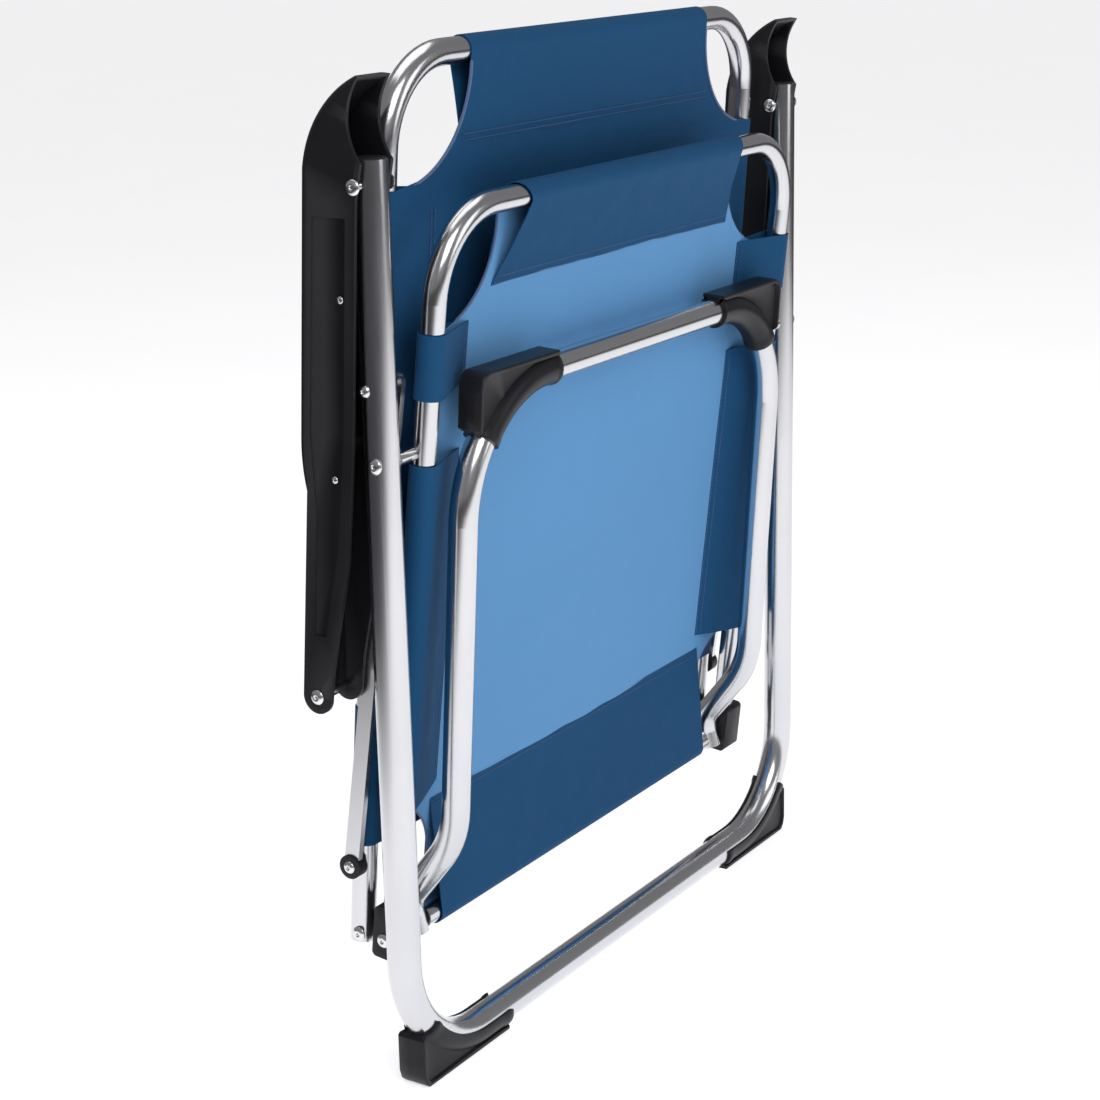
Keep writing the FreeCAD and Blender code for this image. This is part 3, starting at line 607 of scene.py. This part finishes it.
def screws(name, body, side):
    low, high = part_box(body)
    wall = high.x if side > 0 else low.x
    points, faces = [], []
    for depth, height in ARMREST_SCREWS:
        first = len(points)
        for out, share in SCREW_PROFILE:
            for step in range(AROUND):
                angle = 2 * math.pi * step / AROUND
                points.append((
                    wall + side * out * MM,
                    front_plane + depth * MM + share * SCREW_RADIUS * math.cos(angle),
                    height * MM + share * SCREW_RADIUS * math.sin(angle),
                ))
        faces += lattice(len(SCREW_PROFILE), AROUND, first, closed=True)
        faces.append(tuple(range(first, first + AROUND)))
        last = len(points) - AROUND
        faces.append(tuple(range(last + AROUND - 1, last - 1, -1)))
    piece = face_outward(from_faces(name, points, faces))
    finish_piece(shade(piece, 50.0), body, rivet_metal)


for side_name, side in SIDES.items():
    screws("armrest_screws_" + side_name, "armrest_" + side_name, side)


# ---------------------------------------------------------------- cloth
def smooth_step(value):
    value = min(max(value, 0.0), 1.0)
    return value * value * (3 - 2 * value)


def looseness(x, z, seed):
    """Small unevenness of tensioned cloth, in millimetres."""
    broad = noise.noise(Vector((x * 0.011, z * 0.008, seed)))
    fine = noise.noise(Vector((x * 0.035, z * 0.012, seed + 7.0)))
    return 1.3 * broad + 0.45 * fine


def corner_cut(z, corner_z, half, radius, side_half):
    """Half width beside a round cut whose middle is at (half + radius, corner_z), above its foot."""
    down = corner_z - z
    if down <= 0:
        return half
    if down >= radius:
        return side_half
    return min(half + radius - math.sqrt(radius ** 2 - down ** 2), side_half)


class Layout:
    """Rows of a cloth from its low to its high edge, with the half width of each.

    side is half the distance between the middles of the frame's side tubes.
    """

    def __init__(self, low, high, side, half_width, stops, pitch):
        heights = []
        marks = sorted({low, high, *stops})
        for start, end in zip(marks, marks[1:]):
            count = max(int(math.ceil((end - start) / pitch)), 1)
            heights += [start + (end - start) * step / count for step in range(count)]
        self.heights = heights + [high]
        self.side = side
        self.half_width = half_width


def main_cloth(space, layout, columns, plane, bulge, seed):
    """Points of a flat cloth between the side tubes, bulging a little off its plane."""
    points, flat = [], []
    low, high = layout.heights[0], layout.heights[-1]
    for z in layout.heights:
        half = layout.half_width(z)
        for column in range(columns):
            x = half * (2 * column / (columns - 1) - 1)
            across = 1 - (x / layout.side) ** 2
            along = 1 - ((2 * z - low - high) / (high - low)) ** 2
            loose = (bulge + looseness(x, z, seed)) * max(across, 0.0) ** 0.8
            depth = plane + loose * max(along, 0.0) ** 0.6
            points.append(space @ Vector((x, depth, z)))
            flat.append((x * MM, z * MM))
    return points, flat


def sleeve_radius(frame_size):
    """Radius of a sewn-on sleeve's middle, which lies over the main cloth round the tube."""
    return frame_size["radius"] + CLOTH + 3 * PLY_GAP


def leaving(radius, seam):
    """Where a sleeve's flap leaves its tube: (turn, distance to the seam, how far off the seam is)."""
    seam_off = radius - CLOTH - PLY_GAP
    distance = math.hypot(seam, seam_off)
    return math.atan2(seam_off, seam) - math.acos(radius / distance), distance, seam_off


def wrap_path(radius, seam, steps):
    """Loop of a sleeve: from its seam over the face, round the tube and back to the seam.

    Gives (along, off, length) with along measured from the tube's middle to the seam.
    """
    leave, distance, seam_off = leaving(radius, seam)
    turn = (2 * math.pi + leave) - math.pi / 2
    straight = math.sqrt(distance ** 2 - radius ** 2)
    lengths = (seam, radius * turn, straight)
    path = []
    for step in range(steps[0]):
        share = step / steps[0]
        path.append((seam * (1 - share), radius, share * lengths[0]))
    for step in range(steps[1]):
        share = step / steps[1]
        angle = math.pi / 2 + turn * share
        path.append((radius * math.cos(angle), radius * math.sin(angle), lengths[0] + share * lengths[1]))
    end = (radius * math.cos(leave), radius * math.sin(leave))
    for step in range(steps[2] + 1):
        share = step / steps[2]
        along = end[0] + (seam - end[0]) * share
        off = end[1] + (seam_off - end[1]) * share
        path.append((along, off, lengths[0] + lengths[1] + share * lengths[2]))
    return path, sum(lengths)


def thicken(piece, thickness=CLOTH):
    modify(piece, "SOLIDIFY", thickness=thickness * MM, offset=0.0, use_even_offset=False)
    return shade(apply_all(piece), 55.0)


# Steps of a sleeve's loop over its face, round the tube and along its flap
WRAP_STEPS = (14, 22, 16)
COLUMNS = 97
SLEEVE_COLUMNS = 61
ROW_PITCH = 4.0
SLEEVE_PITCH = 6.0
FLAP_SLACK = 0.8
TAB_SLACK = 0.6


def bar_sleeve(name, space, frame_size, bar, seam, way, face, widths):
    """Sleeve round a cross bar. way is +1 when the cloth runs up from the bar; face is the cloth's side.

    widths(layer, share) is the half width on the face (layer 0), round the tube (1) and on the flap (2).
    """
    path, length = wrap_path(sleeve_radius(frame_size), seam, WRAP_STEPS)
    points, flat = [], []
    for number, (along, off, run) in enumerate(path):
        layer, share = 0, 1 - along / seam
        if number >= WRAP_STEPS[0] + WRAP_STEPS[1]:
            layer, share = 2, along / seam
        elif number >= WRAP_STEPS[0]:
            layer, share = 1, (number - WRAP_STEPS[0]) / WRAP_STEPS[1]
        half = widths(layer, max(share, 0.0))
        for column in range(SLEEVE_COLUMNS):
            x = half * (2 * column / (SLEEVE_COLUMNS - 1) - 1)
            slack = 0.0
            if layer == 2:
                uneven = noise.noise(Vector((x * 0.03, run * 0.05, 3.0)))
                slack = FLAP_SLACK * uneven * math.sin(math.pi * min(share, 1.0))
            depth = frame_size["offset"] + face * (off - slack)
            points.append(space @ Vector((x, depth, bar + way * along)))
            flat.append((x * MM, run * MM))
    piece = from_faces(name, points, lattice(len(path), SLEEVE_COLUMNS), flat)
    return thicken(piece), length


def side_sleeve(name, space, frame_size, side, seam, low, high, face):
    path, length = wrap_path(sleeve_radius(frame_size), seam, WRAP_STEPS)
    rows = max(int((high - low) / SLEEVE_PITCH), 8)
    points, flat = [], []
    for row in range(rows + 1):
        share = row / rows
        for along, off, run in path:
            inset = 2.5 * (along / seam) ** 2
            z = low + inset + (high - low - 2 * inset) * share
            slack = TAB_SLACK * noise.noise(Vector((run * 0.05, z * 0.02, 5.0 + side)))
            slack *= max(along / seam, 0.0) * (1 - max(along / seam, 0.0)) * 4
            points.append(space @ Vector((
                side * (frame_size["half"] - along), frame_size["offset"] + face * (off - slack), z
            )))
            flat.append((run * MM, z * MM))
    piece = from_faces(name, points, lattice(rows + 1, len(path)), flat)
    return thicken(piece), length


# Seams and cut-outs, in each space's millimetres
FRONT_SEAM, REAR_SEAM, HEAD_SEAM = 66.0, 96.0, 64.0
SEAT_SIDE_SEAM, BACK_SIDE_SEAM = 57.0, 50.0
SEAT_TABS = ((-276.0, -8.0), (39.0, 86.0))
BACK_TABS = ((73.0, 182.0), (240.0, 562.0))
SEAT_CUT = {"middle": 150.0, "half": 170.0, "radius": 70.0}
REAR_CUT = {"middle": -331.0, "half": 204.0, "radius": 50.0}
HEAD_CUT = {"middle": 642.0, "half": 168.0, "radius": 80.0}
NOTCH_DEPTH = 22.0
NOTCH_ROUND = 14.0


def notch(z, low, high):
    """How far the cloth's edge is cut in between two tabs."""
    inside = min(z - low, high - z)
    if inside <= 0:
        return 0.0
    if inside >= NOTCH_ROUND:
        return NOTCH_DEPTH
    return NOTCH_DEPTH * math.sqrt(1 - (1 - inside / NOTCH_ROUND) ** 2)


def seat_half(z):
    edge = SEAT["half"]
    if z > SEAT_CUT["middle"] - SEAT_CUT["radius"]:
        return corner_cut(z, SEAT_CUT["middle"], SEAT_CUT["half"], SEAT_CUT["radius"], edge)
    if z < REAR_CUT["middle"] + REAR_CUT["radius"]:
        return corner_cut(-z, -REAR_CUT["middle"], REAR_CUT["half"], REAR_CUT["radius"], edge)
    return edge - notch(z, SEAT_TABS[0][1], SEAT_TABS[1][0])


def back_half(z):
    edge = BACK["half"]
    if z > HEAD_CUT["middle"] - HEAD_CUT["radius"]:
        return corner_cut(z, HEAD_CUT["middle"], HEAD_CUT["half"], HEAD_CUT["radius"], edge)
    return edge - notch(z, BACK_TABS[0][1], BACK_TABS[1][0])


seat_plane = SEAT["offset"] + SEAT["radius"] + CLOTH / 2 + PLY_GAP
seat_stops = [end for tab in SEAT_TABS for end in tab]
seat_layout = Layout(SEAT["rear"], SEAT["front"], SEAT["half"], seat_half, seat_stops, ROW_PITCH)
points, flat = main_cloth(seat_space, seat_layout, COLUMNS, seat_plane, -2.0, 1.0)
seat_cloth = thicken(from_faces("seat_cloth", points, lattice(len(seat_layout.heights), COLUMNS), flat))
finish_piece(seat_cloth, "seat", light_weave, ["seat_panel"])


def outline_area(layout):
    """Flat area of a cloth laid out in rows, in square metres."""
    total = 0.0
    for low, high in zip(layout.heights, layout.heights[1:]):
        total += (layout.half_width(low) + layout.half_width(high)) * (high - low)
    return total * MM * MM


outline_area(seat_layout)


def front_widths(layer, share):
    if layer == 0:
        return 178.0 - 11.0 * smooth_step(share)
    if layer == 1:
        return 167.0 - 13.0 * share
    return 154.0 + 20.0 * share ** 1.5


def rear_widths(layer, share):
    flare = (1 - share, 0.0, share)[layer]
    return REAR_CUT["half"] + 1.5 * flare


front_band, front_length = bar_sleeve(
    "seat_front_band", seat_space, SEAT, SEAT["front"], FRONT_SEAM, -1, 1, front_widths
)
finish_piece(front_band, "seat", dark_weave, ["seat_front_sleeve"])
rear_band, rear_length = bar_sleeve(
    "seat_rear_band_cloth", seat_space, SEAT, SEAT["rear"], REAR_SEAM, 1, 1, rear_widths
)
finish_piece(rear_band, "seat", dark_weave, ["seat_rear_band"])

for side_name, side in SIDES.items():
    for tab_name, (low, high) in zip(("lower", "upper"), SEAT_TABS):
        tab, tab_length = side_sleeve(
            "seat_tab_%s_%s" % (tab_name, side_name), seat_space, SEAT, side, SEAT_SIDE_SEAM, low, high, 1
        )
        finish_piece(tab, "seat", dark_weave, ["seat_side_sleeves"])

# The back's cloth is one cut: the middle, two tabs a side and the head flap, each tab folded
# round its tube and sewn down behind.
back_radius = BACK["radius"] + CLOTH / 2 + PLY_GAP
back_plane = BACK["offset"] - back_radius
back_stops = [end for tab in BACK_TABS for end in tab]
back_layout = Layout(BACK_TABS[0][0], BACK["top"], BACK["half"], back_half, back_stops, ROW_PITCH)
points, flat = main_cloth(back_space, back_layout, COLUMNS, back_plane, 2.5, 11.0)
faces = lattice(len(back_layout.heights), COLUMNS)


def fold_path(radius, seam, steps):
    """Fold round a tube from its face to a seam on the far side: (along, off, run)."""
    path, _ = wrap_path(radius, seam, (1, steps[0], steps[1]))
    start = path[1][2]
    return [(along, off, run - start) for along, off, run in path[1:]]


side_fold = fold_path(back_radius, BACK_SIDE_SEAM, (20, 12))
for side in SIDES.values():
    for low, high in BACK_TABS:
        rows = [z for z in back_layout.heights if low - 0.01 <= z <= high + 0.01]
        first = len(points)
        for z in rows:
            for along, off, run in side_fold:
                inset = 3.0 * max(along / BACK_SIDE_SEAM, 0.0) ** 2 * (1 if z < (low + high) / 2 else -1)
                edge = abs(2 * z - low - high) > (high - low) - 0.02
                points.append(back_space @ Vector((
                    side * (BACK["half"] - along), BACK["offset"] - off, z + (inset if edge else 0.0)
                )))
                flat.append((side * (BACK["half"] + run) * MM, z * MM))
        faces += lattice(len(rows), len(side_fold), first)
head_fold = fold_path(back_radius, HEAD_SEAM, (20, 14))
first = len(points)
for along, off, run in head_fold:
    half = HEAD_CUT["half"] + 8.0 * max(along / HEAD_SEAM, 0.0) ** 1.5
    for column in range(COLUMNS):
        x = half * (2 * column / (COLUMNS - 1) - 1)
        points.append(back_space @ Vector((x, BACK["offset"] - off, BACK["top"] - along)))
        flat.append((x * MM, (BACK["top"] + run) * MM))
faces += lattice(len(head_fold), COLUMNS, first)
back_cloth = thicken(from_faces("back_cloth", points, faces, flat, weld=0.02 * MM))
back_nodes = ["back_panel", "back_side_sleeves", "back_head_sleeve"]
finish_piece(back_cloth, "backrest", dark_weave, back_nodes)
side_run, head_run = side_fold[-1][2], head_fold[-1][2]
tab_lengths = sum(high - low for low, high in BACK_TABS)
folded_area = 2 * side_run * tab_lengths + 2 * HEAD_CUT["half"] * head_run
back_area = outline_area(back_layout) + folded_area * MM * MM


# ---------------------------------------------------------------- piping and stitches
def cord_mesh(name, routes, radius):
    """Thin round piping along several open routes, with rounded ends."""
    points, faces = [], []
    around = 8
    for route in routes:
        first = len(points)
        for number, here in enumerate(route):
            before = route[max(number - 1, 0)]
            after = route[min(number + 1, len(route) - 1)]
            direction = (after - before).normalized()
            side_way = direction.cross(Vector((0, 1, 0))).normalized()
            up_way = side_way.cross(direction)
            size = radius * (0.25 if number in (0, len(route) - 1) else 1.0)
            for step in range(around):
                angle = 2 * math.pi * step / around
                points.append(here + size * (side_way * math.cos(angle) + up_way * math.sin(angle)))
        faces += lattice(len(route), around, first, closed=True)
        faces.append(tuple(range(first + around - 1, first - 1, -1)))
        last = len(points) - around
        faces.append(tuple(range(last, last + around)))
    piece = from_faces(name, points, faces)
    return shade(piece, 60.0)


def edge_route(space, layout, side, low, high, plane):
    """Points along a cloth's side edge between two heights."""
    route = []
    for z in layout.heights:
        if low <= z <= high:
            route.append(space @ Vector((side * (layout.half_width(z) - 0.4), plane, z)))
    return route


PIPING_PITCH = 1.5
PIPING_RADIUS = 1.15 * MM
fine_seat = Layout(SEAT["rear"], SEAT["front"], SEAT["half"], seat_half, seat_stops, PIPING_PITCH)
fine_back = Layout(BACK_TABS[0][0], BACK["top"], BACK["half"], back_half, back_stops, PIPING_PITCH)
seat_routes, back_routes = [], []
for side in SIDES.values():
    seat_routes.append(edge_route(seat_space, fine_seat, side, 84.0, 164.0, seat_plane))
    seat_routes.append(edge_route(seat_space, fine_seat, side, -340.0, -280.0, seat_plane))
    seat_routes.append(edge_route(seat_space, fine_seat, side, -6.0, 37.0, seat_plane))
    back_routes.append(edge_route(back_space, fine_back, side, 563.0, 645.0, back_plane))
    back_routes.append(edge_route(back_space, fine_back, side, 184.0, 238.0, back_plane))
finish_piece(cord_mesh("seat_piping", seat_routes, PIPING_RADIUS), "seat", piping_cloth)
finish_piece(cord_mesh("back_piping", back_routes, PIPING_RADIUS), "backrest", piping_cloth)

STITCH_PITCH = 3.6
STITCH_LENGTH = 2.7
STITCH_WIDTH = 0.75
STITCH_RISE = 0.42
THREAD_LIFT = 0.1
# Rows of stitches: how far each is inside its seam's edge
BAND_ROWS = (2.5, 8.0)
TAB_ROWS = (2.5, 7.0)
FRONT_ROW_HALF, REAR_ROW_HALF, HEAD_ROW_HALF = 172.0, 201.0, 176.0


def stitches(name, space, rows, body, material):
    """Straight rows of stitches: each row is (start, end, way off the cloth) in the space's millimetres."""
    points, faces = [], []
    for start, end, off in rows:
        start, end, off = Vector(start), Vector(end), Vector(off).normalized()
        run = end - start
        direction = run.normalized()
        across = direction.cross(off).normalized()
        count = int(run.length / STITCH_PITCH)
        for number in range(count):
            middle = start + direction * (STITCH_PITCH * (number + 0.5))
            first = len(points)
            ring = []
            for share, size in ((-0.5, 0.3), (-0.28, 1.0), (0.28, 1.0), (0.5, 0.3)):
                centre = middle + direction * (STITCH_LENGTH * share)
                for around in range(6):
                    angle = math.pi * around / 3
                    ring.append(
                        centre
                        + across * (0.5 * STITCH_WIDTH * size * math.cos(angle))
                        + off * (STITCH_RISE * size * math.sin(angle))
                    )
            points += [space @ point for point in ring]
            faces += lattice(4, 6, first, closed=True)
            faces.append(tuple(range(first + 5, first - 1, -1)))
            faces.append(tuple(range(first + 18, first + 24)))
    piece = from_faces(name, points, faces)
    return finish_piece(shade(piece, 80.0), body, material)


def flap_point(x, along, seam, bar, way):
    """Point on the outside of a seat bar sleeve's flap, some way from the tube's middle."""
    radius = sleeve_radius(SEAT)
    leave, _, seam_off = leaving(radius, seam)
    end = (radius * math.cos(leave), radius * math.sin(leave))
    share = (along - end[0]) / (seam - end[0])
    off = end[1] + (seam_off - end[1]) * share - CLOTH / 2 - THREAD_LIFT
    return (x, SEAT["offset"] + off, bar + way * along)


TOWARDS_FRONT = (0.0, -1.0, 0.0)
TOWARDS_BACK = (0.0, 1.0, 0.0)
seat_rows = []
for inset in BAND_ROWS:
    along = FRONT_SEAM - inset
    half = front_widths(2, along / FRONT_SEAM) - 3.0
    seat_rows.append((
        flap_point(-half, along, FRONT_SEAM, SEAT["front"], -1),
        flap_point(half, along, FRONT_SEAM, SEAT["front"], -1),
        TOWARDS_FRONT,
    ))
    along = REAR_SEAM - inset
    seat_rows.append((
        flap_point(-REAR_ROW_HALF, along, REAR_SEAM, SEAT["rear"], 1),
        flap_point(REAR_ROW_HALF, along, REAR_SEAM, SEAT["rear"], 1),
        TOWARDS_FRONT,
    ))
seat_top = SEAT["offset"] + sleeve_radius(SEAT) + CLOTH / 2 + THREAD_LIFT
for bar, seam, way, half in (
    (SEAT["front"], FRONT_SEAM, -1, FRONT_ROW_HALF),
    (SEAT["rear"], REAR_SEAM, 1, REAR_ROW_HALF),
):
    for inset in BAND_ROWS:
        z = bar + way * (seam - inset)
        seat_rows.append(((-half, seat_top, z), (half, seat_top, z), TOWARDS_BACK))
for side in SIDES.values():
    for low, high in SEAT_TABS:
        for inset in TAB_ROWS:
            seam_point = flap_point(0.0, SEAT_SIDE_SEAM - inset, SEAT_SIDE_SEAM, 0.0, 1)
            x = side * (SEAT["half"] - SEAT_SIDE_SEAM + inset)
            seat_rows.append(((x, seam_point[1], low + 5), (x, seam_point[1], high - 5), TOWARDS_FRONT))
            seat_rows.append(((x, seat_top, low + 5), (x, seat_top, high - 5), TOWARDS_BACK))
stitches("seat_stitching", seat_space, seat_rows, "seat", dark_thread)

back_front = back_plane - CLOTH / 2 - THREAD_LIFT
back_rows = []
for side in SIDES.values():
    for low, high in BACK_TABS:
        for inset in TAB_ROWS:
            x = side * (BACK["half"] - BACK_SIDE_SEAM + inset)
            back_rows.append(((x, back_front, low + 6), (x, back_front, high - 14), TOWARDS_FRONT))
for inset in TAB_ROWS:
    z = BACK["top"] - HEAD_SEAM + inset
    back_rows.append(((-HEAD_ROW_HALF, back_front, z), (HEAD_ROW_HALF, back_front, z), TOWARDS_FRONT))
stitches("back_stitching", back_space, back_rows, "backrest", dark_thread)


# ---------------------------------------------------------------- studio
PAPER_MIDDLE = (0.6, -0.9, 0.0)
PAPER_EDGE = (1.7, 2.3)
FLOOR_HALF = 40.0
FLOOR_CELLS = 8


def stage_floor():
    """Pale paper that, in glossy reflections only, ends near the chair in a dark studio."""
    points = []
    for row in range(FLOOR_CELLS + 1):
        for column in range(FLOOR_CELLS + 1):
            x = FLOOR_HALF * (2 * column / FLOOR_CELLS - 1)
            y = FLOOR_HALF * (2 * row / FLOOR_CELLS - 1)
            points.append((x, y, 0.0))
    floor = from_faces("floor", points, lattice(FLOOR_CELLS + 1, FLOOR_CELLS + 1))
    paper = Material("floor_paper", (0.86, 0.86, 0.86), 0.9)
    tone = paper.blend(paper.noise(3.0, 3.0), (0.86, 0.86, 0.86), (0.84, 0.84, 0.85))
    away = paper.add("ShaderNodeVectorMath", {"operation": "DISTANCE"})
    paper.feed(away, "0", paper.place)
    paper.feed(away, "1", PAPER_MIDDLE)
    past_edge = paper.add("ShaderNodeMapRange")
    paper.feed(past_edge, "Value", away.outputs["Value"])
    past_edge.inputs["From Min"].default_value = PAPER_EDGE[0]
    past_edge.inputs["From Max"].default_value = PAPER_EDGE[1]
    mirrored = paper.add("ShaderNodeLightPath").outputs["Is Glossy Ray"]
    dark = paper.math("MULTIPLY", past_edge.outputs["Result"], mirrored)
    tone = paper.blend(dark, tone, (0.03, 0.03, 0.035))
    paper.feed(paper.shader, "Base Color", tone)
    paper.feed(paper.shader, "Emission Color", tone)
    paper.shader.inputs["Emission Strength"].default_value = 0.80
    floor.data.materials.append(paper.material)


def soft_light(name, place, target, size, power):
    data = bpy.data.lights.new(name, "AREA")
    data.shape = "RECTANGLE"
    data.size, data.size_y = size
    data.energy = power
    light = bpy.data.objects.new(name, data)
    light.location = place
    light.rotation_mode = "QUATERNION"
    light.rotation_quaternion = (Vector(target) - Vector(place)).to_track_quat("-Z", "Y")
    scene.collection.objects.link(light)


# Brightness of the surroundings by share of a turn: bright panels, grey walls and dark screens
SURROUNDINGS = (
    (0.0, 0.22), (0.03, 0.22), (0.05, 0.09), (0.12, 0.08), (0.135, 0.02), (0.15, 0.02), (0.165, 0.80),
    (0.235, 0.80), (0.25, 0.20), (0.295, 0.18), (0.305, 0.01), (0.335, 0.01), (0.35, 0.32), (0.385, 0.32),
    (0.40, 0.10), (0.475, 0.10), (0.49, 0.36), (0.545, 0.36), (0.56, 0.02), (0.62, 0.02), (0.64, 0.34),
    (0.795, 0.38), (0.81, 0.02), (0.85, 0.02), (0.87, 0.24), (1.0, 0.22),
)


def studio_world():
    """Surroundings with screens and panels, which give the polished tubes their dark and bright lines."""
    world = bpy.data.worlds.new("studio")
    scene.world = world
    world.use_nodes = True
    tree = world.node_tree
    background = tree.nodes["Background"]
    where = tree.nodes.new("ShaderNodeTexCoord")
    parts = tree.nodes.new("ShaderNodeSeparateXYZ")
    tree.links.new(where.outputs["Generated"], parts.inputs[0])
    bearing = tree.nodes.new("ShaderNodeMath")
    bearing.operation = "ARCTAN2"
    tree.links.new(parts.outputs["Y"], bearing.inputs[0])
    tree.links.new(parts.outputs["X"], bearing.inputs[1])
    turn = tree.nodes.new("ShaderNodeMapRange")
    turn.inputs["From Min"].default_value = -math.pi
    turn.inputs["From Max"].default_value = math.pi
    tree.links.new(bearing.outputs["Value"], turn.inputs["Value"])
    ramp = tree.nodes.new("ShaderNodeValToRGB")
    tree.links.new(turn.outputs["Result"], ramp.inputs["Fac"])
    stops = ramp.color_ramp.elements
    for position, level in SURROUNDINGS:
        stop = stops.new(position) if 0.0 < position < 1.0 else stops[int(position)]
        stop.position = position
        stop.color = (level, level, min(level * 1.03, 1.0), 1.0)
    rays = tree.nodes.new("ShaderNodeLightPath")
    seen = tree.nodes.new("ShaderNodeMix")
    seen.data_type = "RGBA"
    tree.links.new(rays.outputs["Is Camera Ray"], seen.inputs[0])
    tree.links.new(ramp.outputs["Color"], seen.inputs[6])
    seen.inputs[7].default_value = (1.0, 1.0, 1.0, 1.0)
    tree.links.new(seen.outputs[2], background.inputs["Color"])
    background.inputs["Strength"].default_value = 1.0


CAMERA_PLACE = Vector((-1.541, front_plane - 0.950, 0.8627))
CAMERA_AZIMUTH = -56.85
CAMERA_ELEVATION = 16.01
CAMERA_ROLL = -1.37
CAMERA_LENS = 76.9


def photo_camera():
    data = bpy.data.cameras.new("camera")
    data.lens = CAMERA_LENS
    data.sensor_width = 36.0
    camera = bpy.data.objects.new("camera", data)
    azimuth, elevation = math.radians(CAMERA_AZIMUTH), math.radians(CAMERA_ELEVATION)
    level = math.cos(elevation)
    back = Vector((math.sin(azimuth) * level, -math.cos(azimuth) * level, math.sin(elevation)))
    camera.location = CAMERA_PLACE
    camera.rotation_mode = "QUATERNION"
    roll = Quaternion((0, 0, 1), math.radians(CAMERA_ROLL))
    camera.rotation_quaternion = (-back).to_track_quat("-Z", "Y") @ roll
    scene.collection.objects.link(camera)
    scene.camera = camera


stage_floor()
studio_world()
centre = (cad_low + cad_high) / 2
soft_light("key", (-1.6, -1.9, 2.3), centre, (1.6, 1.6), 30.0)
soft_light("fill", (0.9, -2.8, 1.2), centre, (1.2, 1.8), 10.0)
soft_light("top", (0.2, 0.5, 2.8), centre, (2.2, 2.2), 20.0)
photo_camera()
scene.view_settings.view_transform = "Standard"
scene.view_settings.look = "None"
